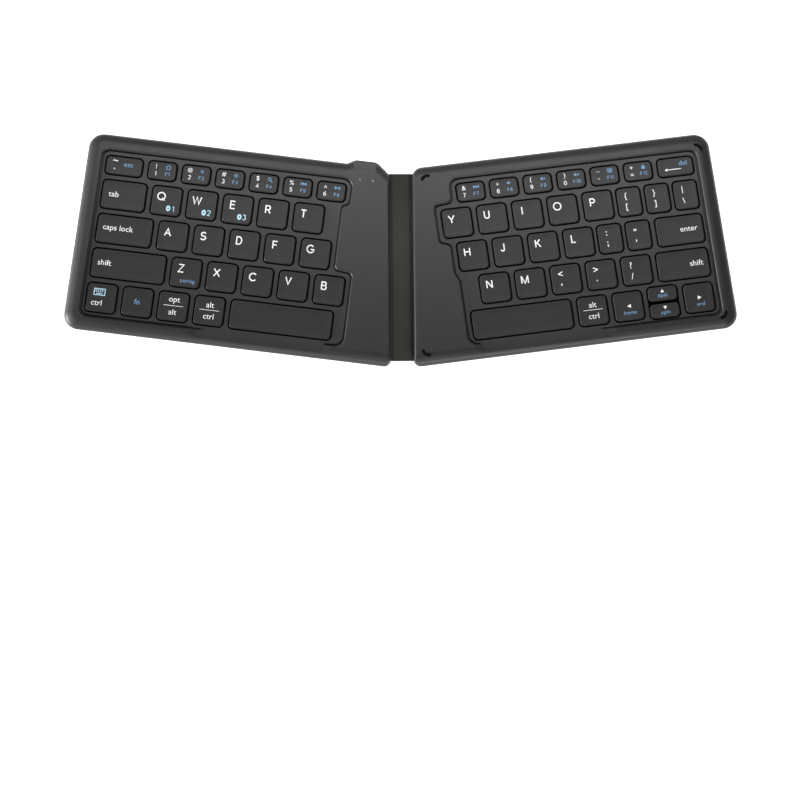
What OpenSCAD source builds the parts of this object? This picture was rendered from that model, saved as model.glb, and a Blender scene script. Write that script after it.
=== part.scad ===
// Folding keyboard: two splayed key halves joined by a flexible spine band.
// The left half and the band fold over onto the right half about two creases.
// Millimetres, +Z up, opened flat; the origin is under the middle of the outline.

/* [Halves] */
// Angle between a half's key rows and the straight line across the desk
splay = 7.2; // [5.5:0.1:8.5]
// Radius of the outer corners in plan
outer_corner_r = 7; // [4:0.5:9]
// Radius of the plain half's rear inner corner
rear_inner_r = 5; // [3:0.5:6]
// Radius of the front inner corners
front_inner_r = 3; // [2:0.5:5]
// Width of the ridge between the key well and the outer edge
side_ridge = 6.9; // [6.2:0.1:8]
// Width of the ridge behind the key well
rear_ridge = 8; // [7:0.1:10]
// Width of the ridge in front of the key well
front_ridge = 5.7; // [5.2:0.1:8]

/* [Spine] */
// Distance between the two creases
crease_pitch = 9; // [8.4:0.1:10]
// Thickness of the spine band
band_t = 0.6; // [0.5:0.05:0.8]
// Height of the band's underside above the desk
band_z = 0.3; // [0.2:0.05:0.4]
// Length of the band behind the spine's middle
band_rear = 36; // [30:0.5:36.5]
// Length of the band in front of the spine's middle
band_front = 53.4; // [48:0.2:54]
// Split that marks each crease of the band
crease_gap = 0.2; // [0.1:0.05:0.3]
// Distance from a crease to the half's inner wall
crease_to_wall = 0.9; // [0.7:0.1:1.5]
// How far the band's flanges reach inside each half
flange_reach = 7.5; // [6:0.5:8]
// Gap between the two decks when the keyboard is folded
closed_gap = 0.3; // [0.25:0.05:0.6]

/* [Covers and plates] */
// Thickness of a bottom cover's floor
cover_floor = 0.8; // [0.6:0.05:0.9]
// Height of a bottom cover's rim
cover_h = 2.1; // [2:0.1:2.4]
// Thickness of a bottom cover's rim
cover_wall = 1.4; // [1:0.1:1.8]
// Thickness of the stiffening plates
plate_t = 0.5; // [0.4:0.05:0.55]
// Thickness of the switch sheets
sheet_t = 0.4; // [0.3:0.05:0.45]
// Gap between parts that are laid into one another
lay_gap = 0.1; // [0.05:0.01:0.2]

/* [Deck] */
// Depth of the key web below the top of the ridge
web_drop = 1; // [0.7:0.05:1.2]
// Thickness of the key web
web_t = 1.1; // [0.9:0.05:1.2]
// Wall of the deck over the electronics bay and along the spine
bay_wall = 1.1; // [0.9:0.05:1.4]
// Near end of the thumb recess, from the spine's middle
thumb_start = 31; // [28:0.5:36]
// Length of the thumb recess
thumb_len = 58; // [40:1:64]
// Length of the ramp at each end of the thumb recess
thumb_ramp = 6; // [3:0.5:7]

/* [Keys] */
// Distance between the centres of neighbouring letter keys and rows
key_pitch = 16.5; // [16.3:0.05:16.8]
// Width and depth of a letter keycap
cap_w = 13.3; // [12.8:0.1:13.6]
// Corner radius of a keycap in plan
cap_r = 1.7; // [1:0.1:2.5]
// Top wall of a keycap
cap_roof = 0.8; // [0.6:0.05:0.9]
// Side wall of a keycap
cap_wall = 0.8; // [0.6:0.05:0.9]
// How far a keycap stands above the web
cap_proud = 0.6; // [0.4:0.05:0.7]
// Gap between a keycap and its hole in the web
cap_clear = 0.7; // [0.5:0.05:0.8]
// Travel of a key
travel = 1.2; // [1:0.05:1.25]
// Gap left under a keycap's skirt when the key is pressed home
press_gap = 0.25; // [0.1:0.05:0.4]
// Distance between the centres of neighbouring number keys
num_pitch = 15.75; // [15.5:0.05:16]
// Width of a number keycap
num_w = 12.6; // [12:0.1:13]
// Depth of a number keycap
num_d = 8.4; // [8.1:0.1:9]
// Width of the tab keycap, which sets the length of both halves
tab_w = 19.95; // [18:0.05:26]
// Gap between the narrow symbol keycaps at the right
narrow_gap = 2.6; // [2.4:0.1:3.2]
// Depth of the half-height arrow keycaps
half_cap_d = 6.6; // [6:0.1:6.8]
// Gap between the two half-height arrow keycaps
half_cap_gap = 1.5; // [1.2:0.1:2]
// Distance from the spine's middle to the T key
t_key_u = 44.1; // [43.6:0.1:46]
// Distance from the spine's middle to the Y key
y_key_u = 27.2; // [26.8:0.1:28]
// Distance from the spine's middle to the 6 key
six_key_u = 35.1; // [34.6:0.1:36]
// Distance from the spine's middle to the 7 key
seven_key_u = 35.4; // [34.6:0.1:36]
// Distance from the spine's middle to the near edge of both space keys
space_edge_u = 27.4; // [26.6:0.1:30]
// Height in plan of the Q row above the spine's middle
q_row_v = 8.05; // [7:0.05:9]
// Shift of the left half's home and lower rows towards the spine
left_stagger = [0, 5.2, 13.5];
// Shift of the right half's home and lower rows away from the spine
right_stagger = [0, 5.0, 13.0];
// Margin between the outer keycaps and the end of the key well
side_margin = 2.6; // [2.2:0.1:3]
// Margin between the other keycaps and the edge of the key well
well_margin = 3; // [2.6:0.1:3.2]
// Shift of the right half's bottom row from the end of its key field
arrow_inset = 0.5; // [0:0.1:1]

/* [Mechanism] */
// Base radius of a rubber dome
dome_r = 3.1; // [2.4:0.1:3.2]
// Wall of a rubber dome
dome_wall = 0.45; // [0.3:0.05:0.6]
// Thickness of a lifter frame
lifter_t = 0.6; // [0.4:0.05:0.8]
// Width of the bars of a lifter frame
lifter_bar = 0.9; // [0.6:0.1:1]

/* [Electronics] */
// How far the port housing stands out of the rear edge
bump_out = 1.8; // [1:0.1:2.2]
// Width of the charging socket
socket_w = 7.6; // [7:0.1:8]
// Height of the charging socket
socket_h = 2.4; // [2.2:0.05:2.5]
// Length of the charging socket
socket_l = 5.6; // [5:0.1:6.4]
// Distance from the spine's middle to the charging socket
socket_u = 21; // [20.5:0.1:21.5]
// Thickness of the main board
board_t = 0.6; // [0.4:0.05:0.65]
// Battery width, length and thickness
battery_size = [12.6, 36, 2.9];
// Width of the ribbon cable through the spine
ribbon_w = 8; // [5:0.5:10]
// Thickness of the ribbon cable
ribbon_t = 0.12; // [0.1:0.01:0.14]
// Radius of a status light pipe
light_r = 0.5; // [0.4:0.05:0.7]
// Length, width and height of a closing magnet
magnet_size = [20, 2.6, 1.8];

/* [Bumpers] */
// Mid radius of the curved rubber bumpers
bumper_r = 2.6; // [2.2:0.1:3.2]
// Width of a bumper
bumper_w = 1.3; // [1:0.1:1.6]
// Depth of a bumper's groove
bumper_sunk = 0.5; // [0.3:0.05:0.6]
// How far a bumper stands above the deck
bumper_proud = 0.15; // [0.1:0.01:0.2]

/* [Hidden] */
LEFT = -1;
RIGHT = 1;
$fn = 48;
eps = 0.01;
through = 1;

// Heights of the layers
axis_z = band_z + band_t;
closed_t = 2 * axis_z + crease_pitch;
deck_top = (closed_t - closed_gap) / 2;
web_top = deck_top - web_drop;
web_under = web_top - web_t;
cap_top = web_top + cap_proud;
cap_ceiling = cap_top - cap_roof;
plate_top = cover_floor + plate_t;
sheet_top = plate_top + sheet_t;
cap_under = sheet_top + press_gap + travel;
bay_top = deck_top - bay_wall;

// Plan positions, in a half's own frame: u away from the spine, v towards the rear
wall_x = crease_pitch / 2 + crease_to_wall;
flange_x = crease_pitch / 2 + flange_reach;
cap_gap = key_pitch - cap_w;
key_edge = t_key_u + 4 * key_pitch + cap_w / 2 + cap_gap + tab_w;
half_len = key_edge + side_margin + side_ridge;
home_row_v = q_row_v - key_pitch;
low_row_v = q_row_v - 2 * key_pitch;
space_row_v = q_row_v - 3 * key_pitch;
num_row_v = q_row_v + cap_w / 2 + cap_gap + num_d / 2;
well_rear = num_row_v + num_d / 2 + well_margin;
well_front = space_row_v - cap_w / 2 - well_margin;
well_side = half_len - side_ridge;
rear_edge = well_rear + rear_ridge;
front_edge = -well_front + front_ridge;

// ---- plan geometry --------------------------------------------------------

function unit(a) = a / norm(a);
function left_of(d) = [-d[1], d[0]];
function meet(p, d, q, e) = p + d * cross(q - p, e) / cross(d, e);
function wrap(i, n) = (i + n) % n;
function half_turn(a) = a > 180 ? a - 360 : a < -180 ? a + 360 : a;

// u of a line parallel to the spine, x away from its middle, at the height v in plan
function spine_u(x, v) = (x + v * sin(splay)) / cos(splay);

// Corners of a polygon, edge i (from corner i) moved inwards by moves[i]
function moved(c, moves) = [for (i = [0:len(c) - 1])
  let (n = len(c), a = c[wrap(i - 1, n)], b = c[i], d = c[wrap(i + 1, n)],
       from = unit(b - a), to = unit(d - b))
  meet(b + left_of(from) * moves[wrap(i - 1, n)], from, b + left_of(to) * moves[i], to)];

// Arc of steps pieces that rounds corner b between its neighbours a and c
function arc_at(a, b, c, r, steps) =
  let (p = unit(a - b), q = unit(c - b), half = acos(p * q) / 2,
       mid = b + unit(p + q) * r / sin(half),
       s = b + p * r / tan(half) - mid, e = b + q * r / tan(half) - mid,
       a0 = atan2(s[1], s[0]), sweep = half_turn(atan2(e[1], e[0]) - a0))
  [for (k = [0:steps]) mid + r * [cos(a0 + sweep * k / steps), sin(a0 + sweep * k / steps)]];

function rounded(c, radii, steps = 8) = [for (i = [0:len(c) - 1])
  let (n = len(c)) each arc_at(c[wrap(i - 1, n)], c[i], c[wrap(i + 1, n)], radii[i], steps)];

// Rectangle w by d about [u, v] with rounded corners
function round_box(u, v, w, d, r, steps = 3) = rounded(
  [[u - w / 2, v - d / 2], [u + w / 2, v - d / 2], [u + w / 2, v + d / 2], [u - w / 2, v + d / 2]],
  [r, r, r, r], steps);

// Solid through rings of equal point counts, one at each height
module loft(rings, heights) {
  n = len(rings[0]);
  last = len(rings) - 1;
  points = [for (k = [0:last]) for (p = rings[k]) [p[0], p[1], heights[k]]];
  sides = [for (k = [0:last - 1]) for (i = [0:n - 1])
    [k * n + i, (k + 1) * n + i, (k + 1) * n + (i + 1) % n, k * n + (i + 1) % n]];
  bottom = [for (i = [0:n - 1]) i];
  top = [for (i = [n - 1:-1:0]) last * n + i];
  polyhedron(points, concat(sides, [bottom, top]), convexity = 6);
}

module slab(points, z0, z1) translate([0, 0, z0]) linear_extrude(z1 - z0) polygon(points);

// ---- outlines -------------------------------------------------------------

// Slanted rear inner corner of the left half, and the port housing's corners
hood_wall = 1.8;
bump_run = 3;
bump_top_near = socket_u - socket_w / 2 - hood_wall;
bump_top_far = socket_u + socket_w / 2 + hood_wall;
bump_far = bump_top_far + bump_run;
slant_drop = 2.8;

function corners(side) =
  let (f = -front_edge, r = rear_edge, b = rear_edge + bump_out, s = rear_edge - slant_drop)
  side == RIGHT
    ? [[spine_u(wall_x, f), f], [half_len, f], [half_len, r], [spine_u(wall_x, r), r]]
    : [[spine_u(wall_x, f), f], [half_len, f], [half_len, r], [bump_far, r],
       [bump_top_far, b], [bump_top_near, b], [spine_u(wall_x, s), s]];

function corner_radii(side, out) =
  let (f = max(front_inner_r - out, 0.8), o = max(outer_corner_r - out, 1),
       n = max(rear_inner_r - out, 0.8), b = max(2.5 - out, 0.6))
  side == RIGHT ? [f, o, o, n] : [f, o, o, 2 + out, b, b, b];

// Outline of a half, moved in by out on the open sides and by spine along the band
function outline(side, out, spine) =
  let (c = corners(side), last = len(c) - 1)
  rounded(moved(c, [for (i = [0:last]) i == last ? spine : out]), corner_radii(side, out));

function plan_y(p) = p[0] * sin(splay) + p[1] * cos(splay);
outline_y = [for (p = outline(RIGHT, 0, 0)) plan_y(p)];
mid_y = (max(outline_y) + min(outline_y)) / 2;

// Frame of a half: x runs away from the spine, y along it, turned by the splay
module along_spine(side)
  translate([0, -mid_y, 0]) mirror([side == LEFT ? 1 : 0, 0, 0]) children();
module half_frame(side) along_spine(side) rotate([0, 0, splay]) children();

// ---- key field ------------------------------------------------------------
// A keycap is [u, v, width, depth]

function between(u0, u1, v, d) = [(u0 + u1) / 2, v, u1 - u0, d];
function row_of(first, v, count) = [for (i = [0:count - 1]) [first + i * key_pitch, v, cap_w, cap_w]];
function far_edge(c) = c[0] + c[2] / 2;
function near_edge(c) = c[0] - c[2] / 2;
// Keycap that fills the row from keycap c to the end of the key field
function fill(c, gap) = between(far_edge(c) + gap, key_edge, c[1], c[3]);

row_v = [q_row_v, home_row_v, low_row_v];
left_letters = ["trewq", "gfdsa", "bvcxz"];
right_letters = ["yuiop", "hjkl", "nm"];
left_rows = [for (r = [0:2]) row_of(t_key_u - left_stagger[r], row_v[r], 5)];
right_rows = [row_of(y_key_u, row_v[0], 5), row_of(y_key_u + right_stagger[1], row_v[1], 4),
              row_of(y_key_u + right_stagger[2], row_v[2], 5)];

function number_row(first) = [for (i = [0:5]) [first + i * num_pitch, num_row_v, num_w, num_d]];
left_number_caps = let (n = number_row(six_key_u)) concat(n, [fill(n[5], cap_gap)]);
right_number_caps = let (n = number_row(seven_key_u)) concat(n, [fill(n[5], cap_gap)]);

// Tab, caps lock and shift, then the four keys left of the space key
left_bottom_row = [for (i = [0:3]) [key_edge - cap_w / 2 - i * key_pitch, space_row_v, cap_w, cap_w]];
left_side_caps = concat([for (r = [0:2]) fill(left_rows[r][4], cap_gap)], left_bottom_row);
left_space_cap = between(space_edge_u, near_edge(left_bottom_row[3]) - cap_gap, space_row_v, cap_w);

// Brackets, backslash, semicolon and quote are narrower; comma, stop and slash are full size
narrow_w = (key_edge - far_edge(right_rows[0][4])) / 3 - narrow_gap;
function narrow_caps(c, count) = [for (i = [0:count - 1])
  let (u0 = far_edge(c) + narrow_gap + i * (narrow_w + narrow_gap)) between(u0, u0 + narrow_w, c[1], c[3])];
right_symbol_caps = concat(narrow_caps(right_rows[0][4], 3), narrow_caps(right_rows[1][3], 2),
                           [for (i = [2:4]) right_rows[2][i]]);
right_bottom_row = [for (i = [0:3])
  [key_edge - arrow_inset - cap_w / 2 - i * key_pitch, space_row_v, cap_w, cap_w]];
right_edge_caps = [fill(right_symbol_caps[4], cap_gap), fill(right_rows[2][4], cap_gap),
                   right_bottom_row[3]];
half_shift = (half_cap_d + half_cap_gap) / 2;
up_cap = [right_bottom_row[1][0], space_row_v + half_shift, cap_w, half_cap_d];
down_cap = [right_bottom_row[1][0], space_row_v - half_shift, cap_w, half_cap_d];
arrow_caps = [right_bottom_row[2], up_cap, down_cap, right_bottom_row[0]];
right_space_cap = between(space_edge_u, near_edge(right_bottom_row[3]) - cap_gap, space_row_v, cap_w);

// Every letter key: [node name, side, keycap]
function letters(side, names, rows) = [for (r = [0:2]) for (i = [0:len(names[r]) - 1])
  [str("key_", names[r][i]), side, rows[r][i]]];
LETTER_KEYS = concat(letters(LEFT, left_letters, left_rows), letters(RIGHT, right_letters, right_rows));

function letter_caps(side) = [for (k = LETTER_KEYS) if (k[1] == side) k[2]];
left_caps = concat(letter_caps(LEFT), left_number_caps, left_side_caps, [left_space_cap]);
right_caps = concat(letter_caps(RIGHT), right_number_caps, right_symbol_caps, right_edge_caps,
                    arrow_caps, [right_space_cap]);

// The two half-height arrow keys share one hole in the web
arrow_pair = [up_cap[0], space_row_v, cap_w, 2 * half_cap_d + half_cap_gap];
left_holes = left_caps;
right_holes = concat([for (c = right_caps) if (c != up_cap && c != down_cap) c], [arrow_pair]);

function caps_of(side) = side == LEFT ? left_caps : right_caps;
function holes_of(side) = side == LEFT ? left_holes : right_holes;

// ---- key well -------------------------------------------------------------

step_run = 1;
function well_edge(c) = near_edge(c) - well_margin;
function top_of(v) = v + cap_w / 2 + well_margin;
function below(v) = v - cap_w / 2 - well_margin;

left_well_num = well_edge(left_number_caps[0]);
left_well_home = well_edge(left_rows[1][0]);
left_well_low = well_edge(left_rows[2][0]);
left_step = q_row_v + cap_w / 2 + cap_gap / 2;
right_well_num = well_edge(right_number_caps[0]);
right_well_q = well_edge(right_rows[0][0]);
right_well_home = well_edge(right_rows[1][0]);
right_well_low = well_edge(right_space_cap);

// Corners of the key well; its inner side steps with the rows
function well_corners(side) =
  let (outer = [[well_side, well_front], [well_side, well_rear]])
  side == LEFT
    ? concat([[left_well_low, well_front]], outer, [
        [left_well_num, well_rear], [left_well_num, left_step + step_run],
        [left_well_home, left_step - step_run], [left_well_home, top_of(low_row_v) + step_run],
        [left_well_low, top_of(low_row_v) - step_run]])
    : concat([[right_well_low, well_front]], outer, [
        [right_well_num, well_rear], [right_well_num, top_of(q_row_v) + step_run],
        [right_well_q, top_of(q_row_v) - step_run], [right_well_q, below(q_row_v) + step_run],
        [right_well_home, below(q_row_v) - step_run], [right_well_home, below(home_row_v) + 2 * step_run],
        [right_well_low, below(home_row_v) - 2 * step_run]]);

function well(side, grow = 0) =
  let (c = well_corners(side), n = len(c))
  rounded(moved(c, [for (i = [0:n - 1]) -grow]), [for (i = [0:n - 1]) i < 4 ? 3 + grow : 1.2], 5);

// ---- bottom covers and stiffening plates ----------------------------------

cover_rings = [[0, 1.5, 0.3], [0.3, 0.7, 0.05], [0.8, 0.2, 0], [1.4, 0, 0], [cover_h, 0.1, 0]];
open_side = -4;

module port_box(clear, z0, z1)
  translate([socket_u - socket_w / 2 - clear, rear_edge - 5, z0])
    cube([socket_w + 2 * clear, 5 + bump_out + through, z1 - z0]);

module bottom_cover(side) {
  floor_in = cover_wall;
  color([0.36, 0.36, 0.35])
  difference() {
    half_frame(side) loft([for (r = cover_rings) outline(side, r[1], r[2])], [for (r = cover_rings) r[0]]);
    half_frame(side) slab(outline(side, floor_in, open_side), cover_floor, cover_h + through);
    // Seat of the band's flange, with room for the ribbon's step
    along_spine(side) translate([wall_x - through, -band_front - lay_gap, band_z])
      cube([flange_x - wall_x + through + 3 * ribbon_t, band_front + band_rear + 2 * lay_gap, cover_h]);
    if (side == LEFT) half_frame(side) port_box(lay_gap, board_top, cover_h + through);
  }
}

module left_bottom_cover() bottom_cover(LEFT);
module right_bottom_cover() bottom_cover(RIGHT);

// Near edge of the plates, just inside the key that lies closest to the spine
plate_lap = 1.4;
function plate_near(side) =
  near_edge(side == LEFT ? left_rows[2][0] : right_rows[0][0]) - cap_clear - plate_lap;
// Corner that the left plates leave free for the board behind the number row
notch_u = near_edge(left_number_caps[0]) - cap_clear + plate_lap / 2;
notch_v = num_row_v + num_d / 2 + cap_clear + plate_lap / 2;

module inner_plate(side, z0, t) {
  half_frame(side) difference() {
    slab(outline(side, cover_wall + lay_gap, open_side), z0, z0 + t);
    translate([-half_len, -2 * front_edge, z0 - through])
      cube([half_len + plate_near(side), 4 * front_edge, t + 2 * through]);
    if (side == LEFT) translate([0, notch_v, z0 - through])
      cube([notch_u, rear_edge, t + 2 * through]);
  }
}

module left_base_plate() color([0.72, 0.73, 0.75]) inner_plate(LEFT, cover_floor, plate_t);
module right_base_plate() color([0.72, 0.73, 0.75]) inner_plate(RIGHT, cover_floor, plate_t);
module left_switch_sheet() color([0.20, 0.42, 0.30]) inner_plate(LEFT, plate_top, sheet_t);
module right_switch_sheet() color([0.20, 0.42, 0.30]) inner_plate(RIGHT, plate_top, sheet_t);

// ---- decks ----------------------------------------------------------------

// The deck plugs into the cover's rim, then steps out over it and curves up to the ridge:
// height, open-side inset and spine-side inset of each ring
plug_in = cover_wall + lay_gap;
deck_rings = [[sheet_top, plug_in, 0], [cover_h, plug_in, 0], [cover_h + 0.02, 0.1, 0],
              [cover_h + 0.5, 0.35, 0], [deck_top - 1.7, 1.1, 0], [deck_top - 1.05, 2.2, 0.1],
              [deck_top - 0.45, 3.4, 0.4], [deck_top - 0.15, 4.4, 0.8], [deck_top, 5.5, 1.4]];

module key_holes(side)
  for (c = holes_of(side))
    slab(round_box(c[0], c[1], c[2] + 2 * cap_clear, c[3] + 2 * cap_clear, cap_r + cap_clear),
         web_under - through, web_top + through);

module thumb_recess() {
  function edge(ramp) = round_box(thumb_start + thumb_len / 2, well_front - front_ridge,
    thumb_len + 2 * ramp, 2 * front_ridge + 2 * well_margin, 1);
  loft([edge(0), edge(thumb_ramp * (deck_top + eps - web_top) / web_drop)], [web_top, deck_top + eps]);
}

// Space under the deck between the spine wall and the key well
bay_x = wall_x + bay_wall + 0.5;
bay_far = 30;
function bay(v0, v1) = [[spine_u(bay_x, v0), v0], [bay_far, v0], [bay_far, v1], [spine_u(bay_x, v1), v1]];

// Low space for the board behind the number row
function low_bay(v0, v1) =
  let (far = notch_u + 4 * lay_gap)
  [[spine_u(flange_x, v0), v0], [far, v0], [far, v1], [spine_u(flange_x, v1), v1]];

module deck_underside(side) {
  bay_rear = well_rear - 1.2;
  slab(well(side), cover_floor, web_under);
  slab(bay(well_front, bay_rear), cover_floor, web_under);
  difference() {
    slab(bay(well_front, bay_rear), cover_floor, bay_top);
    slab(well(side, bay_wall), web_under - through, bay_top + through);
  }
  if (side == LEFT) slab(low_bay(notch_v - 2, rear_edge - cover_wall), cover_floor, board_top + 1.1);
}

// Two magnets stand in the outer ridge, their length along it
magnet_wall = 0.9;
magnet_share = 0.3;

module magnet_places() {
  seat_u = well_side + magnet_wall + magnet_size[1] / 2;
  away = magnet_share * (well_rear - well_front);
  for (v = [-away, away]) translate([seat_u, (well_rear + well_front) / 2 + v, 0]) children();
}

module magnet_block(clear, z0, z1)
  translate([-magnet_size[1] / 2 - clear, -magnet_size[0] / 2 - clear, z0])
    cube([magnet_size[1] + 2 * clear, magnet_size[0] + 2 * clear, z1 - z0]);

light_places = [[socket_u - 4.2, well_rear], [socket_u + 1.8, well_rear]];

// Hood over the charging socket, nearly as high as the deck: its top is rounded at the edges
hood_low = 0.15;
hood_reach = 4;

module port_housing() {
  top = deck_top - hood_low;
  function ring(inset) = round_box(socket_u, rear_edge - hood_reach, socket_w + 2 * hood_wall - 2 * inset,
    2 * (hood_reach + bump_out - 0.4 - inset), 1.4 - inset);
  loft([ring(0), ring(0.1), ring(0.35), ring(0.8)],
       [cover_h + 0.3, top - 1, top - 0.35, top]);
}

// Wall along the spine that comes down onto the band's flange
module spine_wall(side)
  intersection() {
    slab(outline(side, plug_in + lay_gap, 0.05), axis_z + lay_gap / 2, cover_h + 0.2);
    rotate([0, 0, -splay]) translate([0, -2 * front_edge, 0])
      cube([bay_x - 0.1, 4 * front_edge, cover_h + 1]);
  }

module deck(side) {
  half_frame(side) difference() {
    union() {
      loft([for (r = deck_rings) outline(side, r[1], r[2])], [for (r = deck_rings) r[0]]);
      spine_wall(side);
      if (side == LEFT) port_housing();
    }
    slab(well(side), web_top, deck_top + through);
    deck_underside(side);
    key_holes(side);
    thumb_recess();
    magnet_places() magnet_block(lay_gap / 2, cover_floor, sheet_top + magnet_size[2] + lay_gap);
    if (side == LEFT) {
      port_box(lay_gap, cover_floor, board_top + socket_h + lay_gap);
      for (p = light_places) translate([p[0], p[1], 0])
        cylinder(r = light_r + lay_gap / 2, h = deck_top + through);
    }
    if (side == RIGHT) bumper_shapes(lay_gap / 2, deck_top - bumper_sunk - lay_gap / 2, deck_top + through);
  }
}

module left_deck() color([0.31, 0.31, 0.31]) deck(LEFT);
module right_deck() color([0.31, 0.31, 0.31]) deck(RIGHT);

// ---- rubber bumpers at the right half's corners ---------------------------

bumper_span = 112;
bumper_end_in = 5.2;
bumper_rear_in = 6.9;
bumper_front_in = 5.2;

// [u, v, direction it bulges to] of the middle of each curved bumper
bumper_middles = [
  [half_len - bumper_end_in, rear_edge - bumper_rear_in, 42],
  [half_len - bumper_end_in - 1, -front_edge + bumper_front_in, -45],
  [spine_u(wall_x + 5.7, -front_edge), -front_edge + bumper_front_in - 0.5, -130],
  [spine_u(wall_x + 4.9, rear_edge), rear_edge - bumper_rear_in + 1.4, 116]];

module bumper_shapes(clear, z0, z1)
  for (b = bumper_middles) translate([b[0], b[1], z0]) rotate([0, 0, b[2]]) translate([-bumper_r, 0, 0])
    rotate([0, 0, -bumper_span / 2 - 10 * clear]) rotate_extrude(angle = bumper_span + 20 * clear)
      translate([bumper_r - bumper_w / 2 - clear, 0]) square([bumper_w + 2 * clear, z1 - z0]);

module corner_bumpers()
  color([0.06, 0.06, 0.06]) half_frame(RIGHT)
    bumper_shapes(0, deck_top - bumper_sunk, deck_top + bumper_proud);

// ---- spine band and ribbon cable ------------------------------------------

band_len = band_front + band_rear;
ribbon_z = band_z + (band_t - ribbon_t) / 2;
ribbon_slot = 0.04;
ribbon_near = 1;

module band_slot(x0, x1)
  translate([x0, ribbon_near - ribbon_slot, ribbon_z - ribbon_slot])
    cube([x1 - x0, ribbon_w + 2 * ribbon_slot, ribbon_t + 2 * ribbon_slot]);

module spine_band() {
  half_w = (crease_pitch - crease_gap) / 2;
  color([0.25, 0.25, 0.23]) along_spine(RIGHT) difference() {
    translate([-half_w, -band_front, band_z]) cube([2 * half_w, band_len, band_t]);
    band_slot(-half_w - through, half_w + through);
  }
}

module band_flange(side) {
  x0 = (crease_pitch + crease_gap) / 2;
  color([0.25, 0.25, 0.23]) along_spine(side) difference() {
    translate([x0, -band_front, band_z]) cube([flange_x - x0, band_len, band_t]);
    band_slot(x0 - through, flange_x + through);
  }
}

module left_band_flange() band_flange(LEFT);
module right_band_flange() band_flange(RIGHT);

module spine_ribbon() {
  half_w = (crease_pitch - crease_gap) / 2;
  color([0.80, 0.50, 0.20]) along_spine(RIGHT)
    translate([-half_w, ribbon_near, ribbon_z]) cube([2 * half_w, ribbon_w, ribbon_t]);
}

// Flat tail in the flange that steps up and lies on the part it is soldered to
module ribbon_tail(side, seat_z, reach) {
  x0 = (crease_pitch + crease_gap) / 2;
  step_x = flange_x + ribbon_t;
  lie_z = seat_z + 0.03;
  color([0.80, 0.50, 0.20]) along_spine(side) translate([0, ribbon_near, 0]) {
    translate([x0, 0, ribbon_z]) cube([step_x + ribbon_t - x0, ribbon_w, ribbon_t]);
    translate([step_x, 0, ribbon_z]) cube([ribbon_t, ribbon_w, lie_z + ribbon_t - ribbon_z]);
    translate([step_x, 0, lie_z]) cube([reach, ribbon_w, ribbon_t]);
  }
}

module left_ribbon_tail() ribbon_tail(LEFT, board_top, 3);
module right_ribbon_tail() ribbon_tail(RIGHT, sheet_top, 9);

// ---- electronics in the left half -----------------------------------------

board_z = cover_floor + 0.05;
board_top = board_z + board_t;
board_x = flange_x + 4 * ribbon_t;
board_front = -ribbon_near - ribbon_w;
board_rear = rear_edge - cover_wall - 2 * lay_gap;
board_far = plate_near(LEFT) - lay_gap;

// Chips along the board's far edge: share of the way to the notch, width, depth, height
chips = [[0.68, 5, 5, 0.9], [0.48, 3.2, 2.5, 0.7], [0.11, 4, 3.5, 1.1], [0.88, 3, 1.6, 0.5]];
chip_edge = 1;

module chip(c) {
  mid_v = board_front + c[0] * (notch_v - board_front);
  translate([board_far - chip_edge - c[1], mid_v - c[2] / 2, board_top]) cube([c[1], c[2], c[3]]);
}

module main_board() {
  plan = [[spine_u(board_x, board_front), board_front], [board_far, board_front],
          [board_far, notch_v + lay_gap], [notch_u - lay_gap, notch_v + lay_gap],
          [notch_u - lay_gap, board_rear], [spine_u(board_x, board_rear), board_rear]];
  color([0.10, 0.35, 0.18]) half_frame(LEFT) {
    slab(plan, board_z, board_top);
    for (c = chips) chip(c);
  }
}

// The battery lies between the main board and the front wall
module battery() {
  mid_v = (board_front + well_front) / 2;
  near = spine_u(bay_x, mid_v + battery_size[1] / 2) + 6 * lay_gap;
  color([0.78, 0.78, 0.80]) half_frame(LEFT)
    slab(round_box(near + battery_size[0] / 2, mid_v, battery_size[0], battery_size[1], 1),
         axis_z + lay_gap, axis_z + lay_gap + battery_size[2]);
}

// Steel shell with its contact tongue
module charge_socket() {
  shell = 0.3;
  mouth = rear_edge + bump_out - 0.4;
  color([0.75, 0.75, 0.77]) half_frame(LEFT) translate([socket_u, mouth, board_top + socket_h / 2]) {
    difference() {
      translate([-socket_w / 2, -socket_l, -socket_h / 2]) cube([socket_w, socket_l, socket_h]);
      translate([-socket_w / 2 + shell, -socket_l + 0.6, -socket_h / 2 + shell])
        cube([socket_w - 2 * shell, socket_l, socket_h - 2 * shell]);
    }
    translate([-socket_w / 3, -socket_l + 0.5, 0.1]) cube([2 * socket_w / 3, socket_l - 1.2, 0.5]);
  }
}

module status_light_pipes()
  color([0.85, 0.88, 0.90]) half_frame(LEFT) for (p = light_places)
    translate([p[0], p[1], board_top]) cylinder(r = light_r, h = deck_top - board_top);

module magnets(side)
  color([0.60, 0.60, 0.62]) half_frame(side)
    magnet_places() magnet_block(0, sheet_top + eps, sheet_top + eps + magnet_size[2]);
module left_magnets() magnets(LEFT);
module right_magnets() magnets(RIGHT);

// ---- rubber domes and lifters under the keys ------------------------------

has_lifter_d = 8;
long_cap_w = 2 * cap_w;
under_gap = 0.05;
// The square frames stay clear of the keycap's rounded corners
lifter_clear = 0.55;
// Room left in all between the outer frame and the inner one
frame_play = 0.4;
dome_clear = 0.2;

// Size of a lifter in a keycap of that width or depth, and of its inner frame's opening
function lifter_size(cap_size) = cap_size - 2 * cap_wall - 2 * lifter_clear;
function opening_w(cap_width) = lifter_size(cap_width) - 4 * lifter_bar - frame_play;
function opening_d(cap_depth) = lifter_size(cap_depth) - 2 * lifter_bar - lay_gap;

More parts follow.
